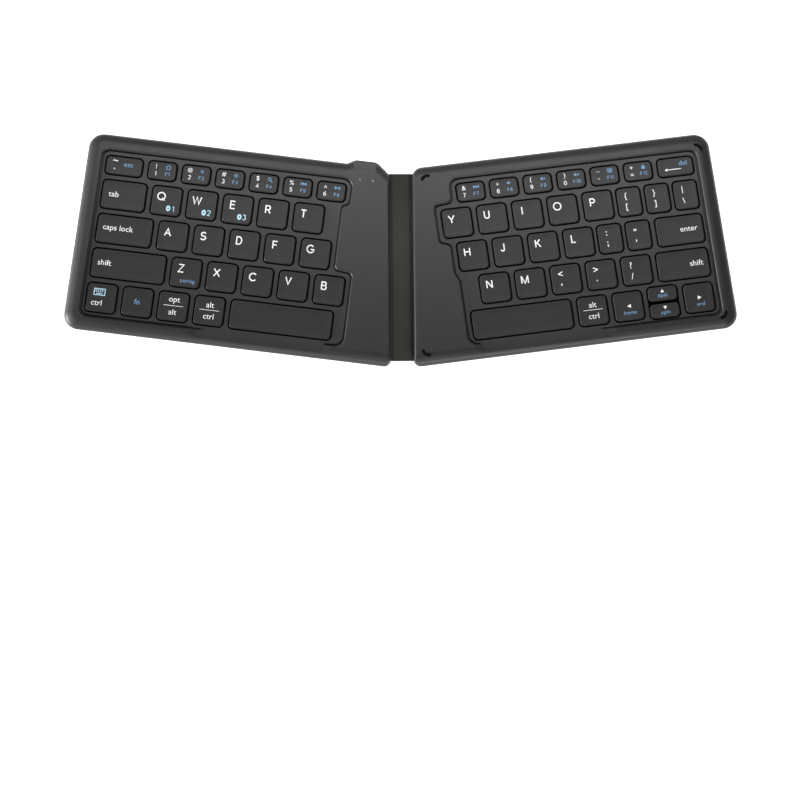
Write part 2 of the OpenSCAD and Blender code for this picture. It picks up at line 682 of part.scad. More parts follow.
function dome_radius(c) = c[3] < has_lifter_d
  ? min(dome_r, (c[3] - 2 * cap_wall) / 2 - dome_clear)
  : min(dome_r, opening_w(min(c[2], cap_w)) / 2 - dome_clear, opening_d(c[3]) / 2 - dome_clear);

module dome(c) {
  r = dome_radius(c);
  top = cap_ceiling - under_gap;
  translate([c[0], c[1], 0]) rotate_extrude($fn = 24)
    polygon([[0, top - dome_wall], [r * 0.4, top - dome_wall], [r - dome_wall - 0.2, sheet_top],
             [r, sheet_top], [r, sheet_top + 0.2], [r * 0.55, top], [0, top]]);
}

module left_key_domes() color([0.88, 0.88, 0.85]) half_frame(LEFT) for (c = left_caps) dome(c);
module right_key_domes() color([0.88, 0.88, 0.85]) half_frame(RIGHT) for (c = right_caps) dome(c);

module lifter_frame(w, d)
  difference() {
    cube([w, d, lifter_t], center = true);
    cube([w - 2 * lifter_bar, d - 2 * lifter_bar, 2 * lifter_t], center = true);
  }

// Two frames crossed like scissors between the switch sheet and the keycap
module lifter(u, v, cap_width, cap_depth) {
  w = lifter_size(cap_width);
  d = lifter_size(cap_depth);
  room = cap_ceiling - sheet_top - 2 * under_gap;
  tilt = asin((room - lifter_t) / d);
  translate([u, v, (cap_ceiling + sheet_top) / 2]) {
    rotate([tilt, 0, 0]) lifter_frame(w, d - lay_gap);
    rotate([-tilt, 0, 0]) lifter_frame(w - 2 * lifter_bar - frame_play, d - lay_gap);
  }
}

module lifters(side)
  color([0.92, 0.92, 0.90]) half_frame(side)
    for (c = caps_of(side)) if (c[3] >= has_lifter_d) {
      w = min(c[2], cap_w);
      away = c[2] > long_cap_w ? (c[2] - 1.2 * cap_w) / 2 : 0;
      for (s = away > 0 ? [-away, away] : [0]) lifter(c[0] + s, c[1], w, c[3]);
    }
module left_key_lifters() lifters(LEFT);
module right_key_lifters() lifters(RIGHT);

// ---- keycaps --------------------------------------------------------------

module keycap(c) {
  function ring(inset) = round_box(c[0], c[1], c[2] - 2 * inset, c[3] - 2 * inset, cap_r - inset / 2);
  difference() {
    loft([ring(0), ring(0.08), ring(0.45)], [cap_under, cap_top - 0.3, cap_top]);
    slab(round_box(c[0], c[1], c[2] - 2 * cap_wall, c[3] - 2 * cap_wall, cap_r - cap_wall / 2, 2),
         cap_under - through, cap_ceiling);
  }
}

module keycaps(side, caps) color([0.24, 0.24, 0.24]) half_frame(side) for (c = caps) keycap(c);

module left_space_key() keycaps(LEFT, [left_space_cap]);
module right_space_key() keycaps(RIGHT, [right_space_cap]);
module left_number_keys() keycaps(LEFT, left_number_caps);
module right_number_keys() keycaps(RIGHT, right_number_caps);
module left_side_keys() keycaps(LEFT, left_side_caps);
module right_symbol_keys() keycaps(RIGHT, right_symbol_caps);
module right_edge_keys() keycaps(RIGHT, right_edge_caps);
module arrow_keys() keycaps(RIGHT, arrow_caps);
module letter_key(k) keycaps(k[1], [k[2]]);

left_bottom_cover();
right_bottom_cover();
left_base_plate();
right_base_plate();
left_switch_sheet();
right_switch_sheet();
left_deck();
right_deck();
corner_bumpers();
spine_band();
left_band_flange();
right_band_flange();
spine_ribbon();
left_ribbon_tail();
right_ribbon_tail();
main_board();
battery();
charge_socket();
status_light_pipes();
left_magnets();
right_magnets();
left_key_domes();
right_key_domes();
left_key_lifters();
right_key_lifters();
left_space_key();
right_space_key();
left_number_keys();
right_number_keys();
left_side_keys();
right_symbol_keys();
right_edge_keys();
arrow_keys();
for (k = LETTER_KEYS) letter_key(k);
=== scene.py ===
"""Looks of the folding keyboard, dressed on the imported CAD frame.

Sizes are in millimetres until a mesh is made. A half's own frame has u running away from the
spine along its key rows and v towards the rear; the left half mirrors the right one.
"""

import math

import bmesh
import bpy
from mathutils import Matrix, Vector


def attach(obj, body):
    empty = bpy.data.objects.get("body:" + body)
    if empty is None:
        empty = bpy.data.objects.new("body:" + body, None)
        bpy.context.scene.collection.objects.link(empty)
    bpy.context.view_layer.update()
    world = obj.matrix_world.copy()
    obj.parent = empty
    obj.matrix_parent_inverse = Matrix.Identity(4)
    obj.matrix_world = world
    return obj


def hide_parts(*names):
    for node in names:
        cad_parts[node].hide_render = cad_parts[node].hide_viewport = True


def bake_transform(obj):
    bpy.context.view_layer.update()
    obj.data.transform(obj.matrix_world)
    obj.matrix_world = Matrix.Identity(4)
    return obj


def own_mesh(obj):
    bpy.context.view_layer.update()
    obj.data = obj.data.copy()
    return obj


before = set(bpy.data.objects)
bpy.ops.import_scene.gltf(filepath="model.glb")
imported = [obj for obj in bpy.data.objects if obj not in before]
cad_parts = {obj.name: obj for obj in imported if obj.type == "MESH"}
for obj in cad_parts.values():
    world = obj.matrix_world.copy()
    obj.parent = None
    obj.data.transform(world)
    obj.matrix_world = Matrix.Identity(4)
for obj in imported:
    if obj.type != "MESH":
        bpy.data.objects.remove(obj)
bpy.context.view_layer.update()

MM = 0.001
LEFT, RIGHT = -1, 1
SIDE_NAME = {LEFT: "left", RIGHT: "right"}

# ---- sizes of the part ----

HALF_LEN = 149.4
SPLAY = math.radians(7.2)
REAR_EDGE, FRONT_EDGE = 37.3, 56.8
MID_Y = -0.632
OUTER_R, REAR_INNER_R, FRONT_INNER_R = 7.0, 5.0, 3.0
WALL_X, BAY_X, FLANGE_X, CREASE_X = 5.4, 7.0, 12.0, 4.5
BAND_FRONT, BAND_REAR, BAND_Z, BAND_T, CREASE_DEEP = 53.4, 36.0, 0.3, 0.6, 0.1
RIBBON_Y, RIBBON_T = (1.0, 9.0), 0.12
AXIS_Z = 0.9
COVER_FLOOR, COVER_H, COVER_WALL, LAY_GAP = 0.8, 2.1, 1.4, 0.1
DECK_TOP, WEB_TOP, WEB_UNDER = 5.25, 4.25, 3.15
WELL_REAR, WELL_FRONT, WELL_SIDE = 29.3, -51.1, 142.5
WELL_MARGIN, WELL_INNER_R, WELL_OUTER_R, WELL_STEP_R = 3.0, 4.6, 3.4, 2.3
GROOVE_W, GROOVE_FRONT, GROOVE_FAR, GROOVE_DEEP = 0.45, 0.75, 0.35, 0.85
THUMB_START, THUMB_END, THUMB_RAMP = 31.0, 89.0, 6.0
CAP_TOP, CAP_UNDER, CAP_ROOF, CAP_WALL, CAP_R, CAP_CLEAR = 4.85, 3.15, 0.8, 0.8, 1.7, 0.7
CEILING = CAP_TOP - CAP_ROOF
PITCH, CAP_W, CAP_GAP = 16.5, 13.3, 3.2
NUM_PITCH, NUM_W, NUM_D = 15.75, 12.6, 8.4
NARROW_W, NARROW_GAP, HALF_CAP_D, HALF_CAP_GAP = 10.75, 2.6, 6.6, 1.5
# Places of the rows, of each row's first key, and of the ends of the space keys and the key field
ROWS = [8.05, -8.45, -24.95]
SPACE_V, NUMBER_V = -41.45, 22.1
LEFT_ROW_U, RIGHT_ROW_U = (44.1, 38.9, 30.6), (27.2, 32.2, 40.2)
LEFT_NUMBER_U, RIGHT_NUMBER_U = 35.1, 35.4
SPACE_END, KEY_EDGE, RIGHT_BOTTOM_IN = 27.4, 139.9, 0.5
SHEET_TOP, TRAVEL = 1.7, 1.2
# A lifter's bars, the width and depth that its frames take beside a dome, its clearance in the cap
LIFTER_BAR, LIFTER_T, LIFTER_MIN_D = 0.9, 0.6, 8
LIFTER_FRAMES_W, LIFTER_FRAMES_D, LIFTER_IN = 6.6, 4, 2.9
DOME_R, DOME_CLEAR = 3.1, 0.3
SOCKET_U, BUMP_OUT, BOARD_TOP, SOCKET_H, SOCKET_W, SOCKET_L = 21.0, 1.8, 1.45, 2.4, 7.6, 5.6
HOOD_WALL, HOOD_REACH, HOOD_LOW, HOOD_BACK, HOOD_R = 1.8, 4, 0.16, 0.4, 1.4
BUMP_FOOT, BUMP_HALF, REAR_SLANT = 8.6, 5.6, 2.8
LIGHT_U, LIGHT_HOLE = [16.8, 22.8], 1.1
BUMPER_R, BUMPER_W, BUMPER_SPAN = 2.6, 1.3, 112
BUMPER_POCKET, BUMPER_SUNK, BUMPER_PROUD, BUMPER_FIT = 0.5, 0.48, 0.15, 0.05


def place(side, u, v, z):
    """Point of a half's own frame, in metres in the row frame."""
    x = u * math.cos(SPLAY) - v * math.sin(SPLAY)
    y = u * math.sin(SPLAY) + v * math.cos(SPLAY) - MID_Y
    return Vector((side * x * MM, y * MM, z * MM))


def spine_u(x, v):
    """u of a line parallel to the spine and x away from its middle, at v."""
    return (x + v * math.sin(SPLAY)) / math.cos(SPLAY)


# ---- plan outlines ----

def inset_corners(corners, moves):
    """Corners of a polygon whose edge i, starting at corner i, moves inwards by moves[i]."""
    out = []
    for i, b in enumerate(corners):
        a, d = Vector(corners[i - 1]), Vector(corners[(i + 1) % len(corners)])
        b = Vector(b)
        along_in, along_out = (b - a).normalized(), (d - b).normalized()
        p = b + Vector((-along_in.y, along_in.x)) * moves[i - 1]
        q = b + Vector((-along_out.y, along_out.x)) * moves[i]
        step = (q - p).cross(along_out) / along_in.cross(along_out)
        out.append(p + along_in * step)
    return out


def rounded(corners, radii, steps=8):
    """Polygon with each corner turned into an arc of that radius."""
    out = []
    for i, b in enumerate(corners):
        a, c, b = Vector(corners[i - 1]), Vector(corners[(i + 1) % len(corners)]), Vector(b)
        p, q = (a - b).normalized(), (c - b).normalized()
        half = math.acos(max(-1, min(1, p.dot(q)))) / 2
        mid = b + (p + q).normalized() * radii[i] / math.sin(half)
        start, end = b + p * radii[i] / math.tan(half) - mid, b + q * radii[i] / math.tan(half) - mid
        first = math.atan2(start.y, start.x)
        sweep = math.atan2(end.y, end.x) - first
        sweep -= 2 * math.pi * round(sweep / (2 * math.pi))
        for k in range(steps + 1):
            angle = first + sweep * k / steps
            out.append(mid + Vector((math.cos(angle), math.sin(angle))) * radii[i])
    return out


def sweep(x, y, rx, ry, a0, a1, steps):
    """Points of an ellipse's arc from angle a0 to a1."""
    angles = [a0 + (a1 - a0) * k / steps for k in range(steps + 1)]
    return [(x + rx * math.cos(a), y + ry * math.sin(a)) for a in angles]


def box_shape(x0, y0, x1, y1):
    return [(x0, y0), (x1, y0), (x1, y1), (x0, y1)]


def box_outline(u, v, w, d, r, steps=5):
    return rounded(box_shape(u - w / 2, v - d / 2, u + w / 2, v + d / 2), [r] * 4, steps)


def half_outline(side, open_in, spine_in):
    """Outline of a half, moved in by open_in on its open sides and by spine_in along the band."""
    front, rear, bump, slant = -FRONT_EDGE, REAR_EDGE, REAR_EDGE + BUMP_OUT, REAR_EDGE - REAR_SLANT
    f, o = max(FRONT_INNER_R - open_in, 0.8), max(OUTER_R - open_in, 1)
    corners = [(spine_u(WALL_X, front), front), (HALF_LEN, front), (HALF_LEN, rear)]
    radii = [f, o, o]
    if side == RIGHT:
        corners += [(spine_u(WALL_X, rear), rear)]
        radii += [max(REAR_INNER_R - open_in, 0.8)]
    else:
        corners += [(SOCKET_U + BUMP_FOOT, rear), (SOCKET_U + BUMP_HALF, bump), (SOCKET_U - BUMP_HALF, bump),
                    (spine_u(WALL_X, slant), slant)]
        radii += [2 + open_in] + [max(2.5 - open_in, 0.6)] * 3
    moves = [open_in] * (len(corners) - 1) + [spine_in]
    return rounded(inset_corners(corners, moves), radii, 10)


# ---- key field ----
# A keycap is (u, v, width, depth)

def between(u0, u1, v, d):
    return ((u0 + u1) / 2, v, u1 - u0, d)


def row_of(first, v, count, pitch=PITCH, w=CAP_W, d=CAP_W):
    return [(first + i * pitch, v, w, d) for i in range(count)]


def far_edge(c):
    return c[0] + c[2] / 2


def near_edge(c):
    return c[0] - c[2] / 2


def fill(c, gap=CAP_GAP):
    """Keycap from the end of keycap c to the end of the key field."""
    return between(far_edge(c) + gap, KEY_EDGE, c[1], c[3])


def narrow(c, count):
    u0 = far_edge(c) + NARROW_GAP
    step = NARROW_W + NARROW_GAP
    return [between(u0 + i * step, u0 + i * step + NARROW_W, c[1], c[3]) for i in range(count)]


left_rows = [row_of(u, v, 5) for u, v in zip(LEFT_ROW_U, ROWS)]
right_rows = [row_of(u, v, n) for u, v, n in zip(RIGHT_ROW_U, ROWS, (5, 4, 5))]
left_numbers = row_of(LEFT_NUMBER_U, NUMBER_V, 6, NUM_PITCH, NUM_W, NUM_D)
right_numbers = row_of(RIGHT_NUMBER_U, NUMBER_V, 6, NUM_PITCH, NUM_W, NUM_D)
left_bottom = row_of(KEY_EDGE - CAP_W / 2, SPACE_V, 4, -PITCH)
right_bottom = row_of(KEY_EDGE - RIGHT_BOTTOM_IN - CAP_W / 2, SPACE_V, 4, -PITCH)
half_shift = (HALF_CAP_D + HALF_CAP_GAP) / 2
up_down = [(right_bottom[1][0], SPACE_V + shift, CAP_W, HALF_CAP_D) for shift in (half_shift, -half_shift)]
left_space, right_space = [between(SPACE_END, near_edge(bottom[3]) - CAP_GAP, SPACE_V, CAP_W)
                           for bottom in (left_bottom, right_bottom)]
symbol_caps = narrow(right_rows[0][4], 3) + narrow(right_rows[1][3], 2) + right_rows[2][2:]

KEYS = {
    "left_number_keys": (LEFT, left_numbers + [fill(left_numbers[5])]),
    "right_number_keys": (RIGHT, right_numbers + [fill(right_numbers[5])]),
    "left_side_keys": (LEFT, [fill(r[4]) for r in left_rows] + left_bottom),
    "right_symbol_keys": (RIGHT, symbol_caps),
    "right_edge_keys": (RIGHT, [fill(symbol_caps[4]), fill(right_rows[2][4]), right_bottom[3]]),
    "arrow_keys": (RIGHT, [right_bottom[2], *up_down, right_bottom[0]]),
    "left_space_key": (LEFT, [left_space]),
    "right_space_key": (RIGHT, [right_space]),
}
for names, rows, side in ((("trewq", "gfdsa", "bvcxz"), left_rows, LEFT),
                          (("yuiop", "hjkl", "nm"), right_rows, RIGHT)):
    for letters, row in zip(names, rows):
        for letter, cap in zip(letters, row):
            KEYS["key_" + letter] = (side, [cap])


def holes(side):
    """Openings of the key web; the two half-height keys share one."""
    caps = [c for s, group in KEYS.values() if s == side for c in group if c[3] != HALF_CAP_D]
    if side == RIGHT:
        caps.append((right_bottom[1][0], SPACE_V, CAP_W, 2 * HALF_CAP_D + HALF_CAP_GAP))
    return caps


def well_outline(side, grow=0.0, front=0.0, far=0.0):
    """The stepped outline of the key well, moved in by front and far at those two edges."""
    def step(u0, u1, v, slant):
        return [(u0, v + slant), (u1, v - slant)]

    up = CAP_W / 2 + WELL_MARGIN
    if side == LEFT:
        number = LEFT_NUMBER_U - NUM_W / 2 - WELL_MARGIN
        home, low = LEFT_ROW_U[1] - up, LEFT_ROW_U[2] - up
        steps = (step(number, home, ROWS[0] + CAP_W / 2 + CAP_GAP / 2, 0.6)
                 + step(home, low, ROWS[2] + up, 0.4))
    else:
        number, low = RIGHT_NUMBER_U - NUM_W / 2 - WELL_MARGIN, SPACE_END - WELL_MARGIN
        top, home = RIGHT_ROW_U[0] - up, RIGHT_ROW_U[1] - up
        steps = (step(number, top, ROWS[0] + up, 0.4) + step(top, home, ROWS[0] - up, 0.6)
                 + step(home, low, ROWS[1] - up, 2))
    corners = [(low, WELL_FRONT), (WELL_SIDE, WELL_FRONT), (WELL_SIDE, WELL_REAR),
               (number, WELL_REAR)] + steps
    inner, outer = WELL_INNER_R + grow, WELL_OUTER_R + grow
    radii = [inner, outer, outer, inner] + [WELL_STEP_R] * len(steps)
    moves = [front - grow, far - grow] + [-grow] * (len(corners) - 2)
    return rounded(inset_corners(corners, moves), radii, 6)


# ---- mesh helpers ----

def add_object(name, data):
    obj = bpy.data.objects.new(name, data)
    bpy.context.scene.collection.objects.link(obj)
    return obj


def new_object(name, bm, materials=()):
    """Object from a bmesh in metres, with outward normals."""
    bmesh.ops.recalc_face_normals(bm, faces=bm.faces)
    mesh = bpy.data.meshes.new(name)
    bm.to_mesh(mesh)
    bm.free()
    for m in materials:
        mesh.materials.append(m)
    return add_object(name, mesh)


def smooth(obj, degrees=38, weighted=True):
    """Smooth shading up to that edge angle, with flat faces kept flat by weighted normals."""
    mesh = obj.data
    mesh.shade_smooth()
    bm = bmesh.new()
    bm.from_mesh(mesh)
    limit = math.radians(degrees)
    for e in bm.edges:
        e.smooth = len(e.link_faces) == 2 and e.calc_face_angle(math.pi) < limit
    bm.to_mesh(mesh)
    bm.free()
    if weighted:
        obj.modifiers.new("flat_faces", "WEIGHTED_NORMAL").keep_sharp = True
    return obj


def add_rings(bm, rings, closed=False):
    """Skin over rings of equal point counts; closed joins the last ring to the first."""
    rows = [[bm.verts.new(p) for p in ring] for ring in rings]
    n = len(rows[0])
    for a, b in list(zip(rows, rows[1:])) + ([(rows[-1], rows[0])] if closed else []):
        for i in range(n):
            bm.faces.new((a[i], a[(i + 1) % n], b[(i + 1) % n], b[i]))
    if not closed:
        bm.faces.new(rows[0])
        bm.faces.new(rows[-1])


def skin(rings, closed=False):
    """Bmesh over rings of points in metres, with outward normals."""
    bm = bmesh.new()
    add_rings(bm, rings, closed)
    bmesh.ops.recalc_face_normals(bm, faces=bm.faces)
    return bm


def loft(side, rings):
    """Closed bmesh through (outline, z) rings in a half's frame."""
    return skin([[place(side, p[0], p[1], z) for p in ring] for ring, z in rings])


def subtract(obj, cutters):
    """Cuts the bmeshes in cutters out of obj, one at a time; each cutter goes with its mesh."""
    for i, bm in enumerate(cutters):
        cutter = new_object(f"cutter_{obj.name}_{i}", bm)
        mod = obj.modifiers.new("cut", "BOOLEAN")
        mod.operation, mod.solver, mod.object = "DIFFERENCE", "EXACT", cutter
        dg = bpy.context.evaluated_depsgraph_get()
        mesh = bpy.data.meshes.new_from_object(obj.evaluated_get(dg))
        obj.modifiers.remove(mod)
        old, obj.data = obj.data, mesh
        bpy.data.meshes.remove(old)
        bpy.data.meshes.remove(cutter.data)


def joined(bmeshes):
    """One bmesh out of several that don't touch."""
    whole = bmesh.new()
    for bm in bmeshes:
        mesh = bpy.data.meshes.new("joining")
        bm.to_mesh(mesh)
        bm.free()
        whole.from_mesh(mesh)
        bpy.data.meshes.remove(mesh)
    return whole


def slab(side, outline, z0, z1):
    return loft(side, [(outline, z0), (outline, z1)])


def fillet(z_top, r, steps=4):
    """(z, grow) pairs of a rounded lip of radius r, from its foot up to z_top."""
    turn = [math.pi / 2 * k / steps for k in range(steps + 1)]
    return [(z_top - r + r * math.sin(a), r * (1 - math.cos(a))) for a in turn]


def smooth_profile(points, per_span=3):
    """Catmull-Rom curve through the points."""
    pts = [Vector(p) for p in points]
    out = []
    for i in range(len(pts) - 1):
        p0, p1, p2, p3 = pts[max(i - 1, 0)], pts[i], pts[i + 1], pts[min(i + 2, len(pts) - 1)]
        for k in range(per_span):
            t = k / per_span
            out.append(0.5 * (2 * p1 + (p2 - p0) * t + (2 * p0 - 5 * p1 + 4 * p2 - p3) * t * t
                              + (3 * p1 - p0 - 3 * p2 + p3) * t ** 3))
    return out + [pts[-1]]


def dress(obj, body, slot, *stands_for):
    """Lets obj ride on a body in place of the named CAD nodes; slot is not used."""
    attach(obj, body)
    if stands_for:
        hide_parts(*stands_for)


# ---- materials ----

def srgb(*values):
    """Linear colour from 0-255 display values."""
    c = [v / 255 for v in values]
    return tuple(x / 12.92 if x <= 0.04045 else ((x + 0.055) / 1.055) ** 2.4 for x in c) + (1.0,)


class Nodes:
    """Short names for building one material's node tree."""

    def __init__(self, name, **constants):
        self.material = bpy.data.materials.new(name)
        self.material.use_nodes = True
        self.tree = self.material.node_tree
        self.shader = self.tree.nodes["Principled BSDF"]
        for key, value in constants.items():
            self.shader.inputs[key.replace("_", " ")].default_value = value
        self.where = self.add("ShaderNodeTexCoord").outputs["Object"]

    def add(self, kind, inputs=(), **settings):
        """New node; inputs gives its sockets numbers or other nodes' outputs."""
        node = self.tree.nodes.new(kind)
        for key, value in settings.items():
            setattr(node, key, value)
        for key, value in dict(inputs).items():
            if isinstance(value, bpy.types.NodeSocket):
                self.tree.links.new(value, node.inputs[key])
            else:
                node.inputs[key].default_value = value
        return node

    def noise(self, per_metre, detail=3.0, roughness=0.55, stretch=(1, 1, 1)):
        where = self.add("ShaderNodeMapping", {"Scale": stretch, "Vector": self.where}).outputs["Vector"]
        node = self.add("ShaderNodeTexNoise", {"Scale": per_metre, "Detail": detail,
                                               "Roughness": roughness, "Vector": where})
        return node.outputs["Fac"]

    def math(self, operation, a, b=0.5):
        return self.add("ShaderNodeMath", {0: a, 1: b}, operation=operation).outputs[0]

    def ramp(self, value, low, high, low_at=0.3, high_at=0.7):
        """Colour from low to high as value goes from low_at to high_at."""
        node = self.add("ShaderNodeValToRGB", {"Fac": value})
        for element, at, colour in zip(node.color_ramp.elements, (low_at, high_at), (low, high)):
            element.position, element.color = at, colour
        return node.outputs["Color"]

    def spread(self, value, low, high, low_at=0.3, high_at=0.7):
        """Value remapped so that low_at becomes low and high_at becomes high."""
        node = self.add("ShaderNodeMapRange", {"From Min": low_at, "From Max": high_at, "To Min": low,
                                               "To Max": high, "Value": value})
        return node.outputs["Result"]

    def edge_mask(self, radius_mm, low=0.02, high=0.25):
        """1 on rounded edges and corners, 0 on flats."""
        bevel = self.add("ShaderNodeBevel", {"Radius": radius_mm * MM}, samples=4).outputs["Normal"]
        normal = self.add("ShaderNodeNewGeometry").outputs["Normal"]
        dot = self.add("ShaderNodeVectorMath", {0: bevel, 1: normal}, operation="DOT_PRODUCT")
        return self.spread(dot.outputs["Value"], 0.0, 1.0, 1 - low, 1 - high)

    def crevice(self, reach_mm, low=0.35, high=0.8):
        """1 deep inside narrow crevices, 0 in the open: the mask by which shade is painted in."""
        node = self.add("ShaderNodeAmbientOcclusion", {"Distance": reach_mm * MM}, samples=6)
        return self.spread(node.outputs["AO"], 1.0, 0.0, low, high)

    def mix(self, factor, a, b):
        return self.add("ShaderNodeMix", {0: factor, 6: a, 7: b}, data_type="RGBA").outputs[2]

    def surface(self, colour, roughness, height=None, strength=0.5, depth_mm=0.0):
        """Gives the shader its colour, roughness and, where there is a height, a bump."""
        inputs = {"Base Color": colour, "Roughness": roughness}
        if height:
            bump = {"Strength": strength, "Distance": depth_mm * MM, "Height": height}
            inputs["Normal"] = self.add("ShaderNodeBump", bump).outputs["Normal"]
        for key, value in inputs.items():
            self.tree.links.new(value, self.shader.inputs[key])


def shade(colour, share):
    return tuple(c * share for c in colour[:3]) + (1.0,)


def moulded(name, colour, rough, grain_mm, depth_mm, vary=0.07, edge_highlight=0.0, gap_shade_mm=0.0, **constants):
    """Moulded or coated plastic: fine grain, faint blotches, painted highlight on rounded edges and painted
    shade in crevices.
    """
    n = Nodes(name, **constants)
    grain = n.noise(1 / (grain_mm * MM), 2.0, 0.6)
    blotch = n.noise(45, 4.0, 0.6)
    both = n.math("ADD", n.math("MULTIPLY", grain, 0.45), n.math("MULTIPLY", blotch, 0.55))
    tone = n.ramp(both, shade(colour, 1 - vary), shade(colour, 1 + vary))
    # Painted highlight: rounded edges are lightened towards 1.9 times the colour, more in some patches than
    # others.
    if edge_highlight:
        mask = n.math("MULTIPLY", n.edge_mask(0.5), n.spread(blotch, edge_highlight * 0.4, edge_highlight))
        tone = n.mix(mask, tone, shade(colour, 1.9))
    # Painted shade: narrow crevices between parts are darkened towards 0.12 times the colour.
    if gap_shade_mm:
        tone = n.mix(n.crevice(gap_shade_mm), tone, shade(colour, 0.12))
    n.surface(tone, n.spread(both, rough - 0.06, rough + 0.06), grain, 0.5, depth_mm)
    return n.material


def film(name, colour, rough, **constants):
    """Smooth printed or drawn sheet with long faint streaks."""
    n = Nodes(name, **constants)
    streak = n.noise(600, 3.0, 0.5, stretch=(0.05, 1, 1))
    cloud = n.noise(80, 3.0)
    tone = n.ramp(cloud, shade(colour, 0.9), shade(colour, 1.1))
    n.surface(tone, n.spread(streak, rough - 0.08, rough + 0.08), streak, 0.2, 0.01)
    return n.material


# The deck and keycaps carry a painted highlight on rounded edges and painted shade in crevices; the cover
# carries the painted highlight only.
DECK = moulded("deck_plastic", srgb(36, 36, 36), 0.46, 0.16, 0.012, edge_highlight=0.3, gap_shade_mm=1.2,
               Specular_IOR_Level=0.42)
KEYCAP = moulded("keycap_plastic", srgb(36, 36, 37), 0.46, 0.14, 0.010, edge_highlight=0.2, gap_shade_mm=1.2,
                 Specular_IOR_Level=0.3)
COVER = moulded("cover_soft_coat", srgb(74, 74, 72), 0.62, 0.12, 0.008, vary=0.05, edge_highlight=0.15,
                Specular_IOR_Level=0.25, Sheen_Weight=0.06, Sheen_Roughness=0.4)
BUMPER = moulded("bumper_rubber", srgb(5, 5, 5), 0.8, 0.3, 0.02, Specular_IOR_Level=0.08)
LIFTER = moulded("lifter_acetal", srgb(18, 18, 18), 0.5, 0.2, 0.005, Specular_IOR_Level=0.2)
SHEET = film("switch_film", srgb(12, 12, 13), 0.6, Specular_IOR_Level=0.1)
PLATE = film("base_plate_aluminium", srgb(196, 198, 201), 0.35, Metallic=1.0)
STEEL = film("socket_steel", srgb(176, 177, 180), 0.28, Metallic=1.0)
MAGNET = film("magnet_nickel", srgb(190, 186, 178), 0.2, Metallic=1.0)
BATTERY = film("battery_foil", srgb(168, 170, 174), 0.4, Metallic=0.4)
BOARD = film("board_mask", srgb(28, 92, 52), 0.4)
RIBBON = film("ribbon_film", srgb(38, 34, 30), 0.45, Specular_IOR_Level=0.3)
DOME = moulded("dome_silicone", srgb(205, 205, 198), 0.45, 0.4, 0.01, Subsurface_Weight=0.2)
PIPE = moulded("light_pipe_smoked", srgb(92, 94, 96), 0.3, 0.3, 0.004, vary=0.03)


def band_material(crease_shade_mm=1.1):
    """Rubber-coated woven band with a fine weave, darkened by painted shade within the given millimetres of
    its creases.
    """
    n = Nodes("band_rubber", Specular_IOR_Level=0.25, Sheen_Weight=0.05, Sheen_Roughness=0.5)
    waves = [n.add("ShaderNodeTexWave", {"Scale": 900, "Distortion": 1.2, "Detail": 1.0, "Vector": n.where},
                   wave_type="BANDS", bands_direction=axis).outputs["Fac"] for axis in "XY"]
    weave = n.math("MULTIPLY", *waves)
    cloud = n.noise(110, 4.0)
    across = n.math("ABSOLUTE", n.add("ShaderNodeSeparateXYZ", {0: n.where}).outputs["X"])
    # Painted shade: towards each crease the colour is mixed down to 0.45 of itself.
    crease = n.math("ABSOLUTE", n.math("SUBTRACT", across, CREASE_X * MM))
    crease_shade = n.spread(crease, 1.0, 0.0, 0.0, crease_shade_mm * MM)
    colour = srgb(46, 46, 43)
    tone = n.ramp(cloud, shade(colour, 0.9), shade(colour, 1.1))
    height = n.math("ADD", weave, n.math("MULTIPLY", cloud, 0.5))
    n.surface(n.mix(crease_shade, tone, shade(colour, 0.45)), n.spread(cloud, 0.55, 0.7), height, 0.5, 0.03)
    return n.material


def ink(name, colour):
    """Printed legend: opaque ink, slightly thin in places."""
    n = Nodes(name, Specular_IOR_Level=0.3)
    speck = n.noise(5000, 2.0)
    tone = n.ramp(speck, shade(colour, 0.86), colour, 0.25, 0.45)
    n.surface(tone, n.spread(speck, 0.5, 0.65), speck, 0.2, 0.004)
    return n.material


BAND = band_material()
WHITE_INK = ink("white_ink", srgb(238, 238, 236))
BLUE_INK = ink("blue_ink", srgb(112, 152, 188))
PALE_INK = ink("pale_blue_ink", srgb(176, 212, 232))

# ---- covers and decks ----

# (height, open-side inset, spine-side inset) of the rounded edge of each shell
COVER_EDGE = [(0, 1.5, 0.3), (0.12, 1.0, 0.12), (0.35, 0.6, 0.05), (0.8, 0.2, 0), (1.4, 0, 0),
              (1.9, 0.0, 0), (COVER_H - 0.06, 0.05, 0), (COVER_H, 0.16, 0.06)]
DECK_EDGE = [(COVER_H + 0.02, 0.22, 0.0), (COVER_H + 0.1, 0.12, 0), (COVER_H + 0.5, 0.32, 0),
             (3.55, 1.05, 0.0), (4.2, 2.1, 0.12), (4.8, 3.35, 0.42), (5.1, 4.4, 0.8), (DECK_TOP, 5.5, 1.4)]


def beside_spine(side, x, y, z):
    """Point x away from the spine's middle, in metres in the row frame."""
    return Vector((side * x * MM, (y - MID_Y) * MM, z * MM))


def along_spine_box(side, x0, x1, y0, y1, z0, z1):
    """Box beside the spine, its sides along the row frame."""
    return skin([[beside_spine(side, x, y, z) for x, y in box_shape(x0, y0, x1, y1)] for z in (z0, z1)])


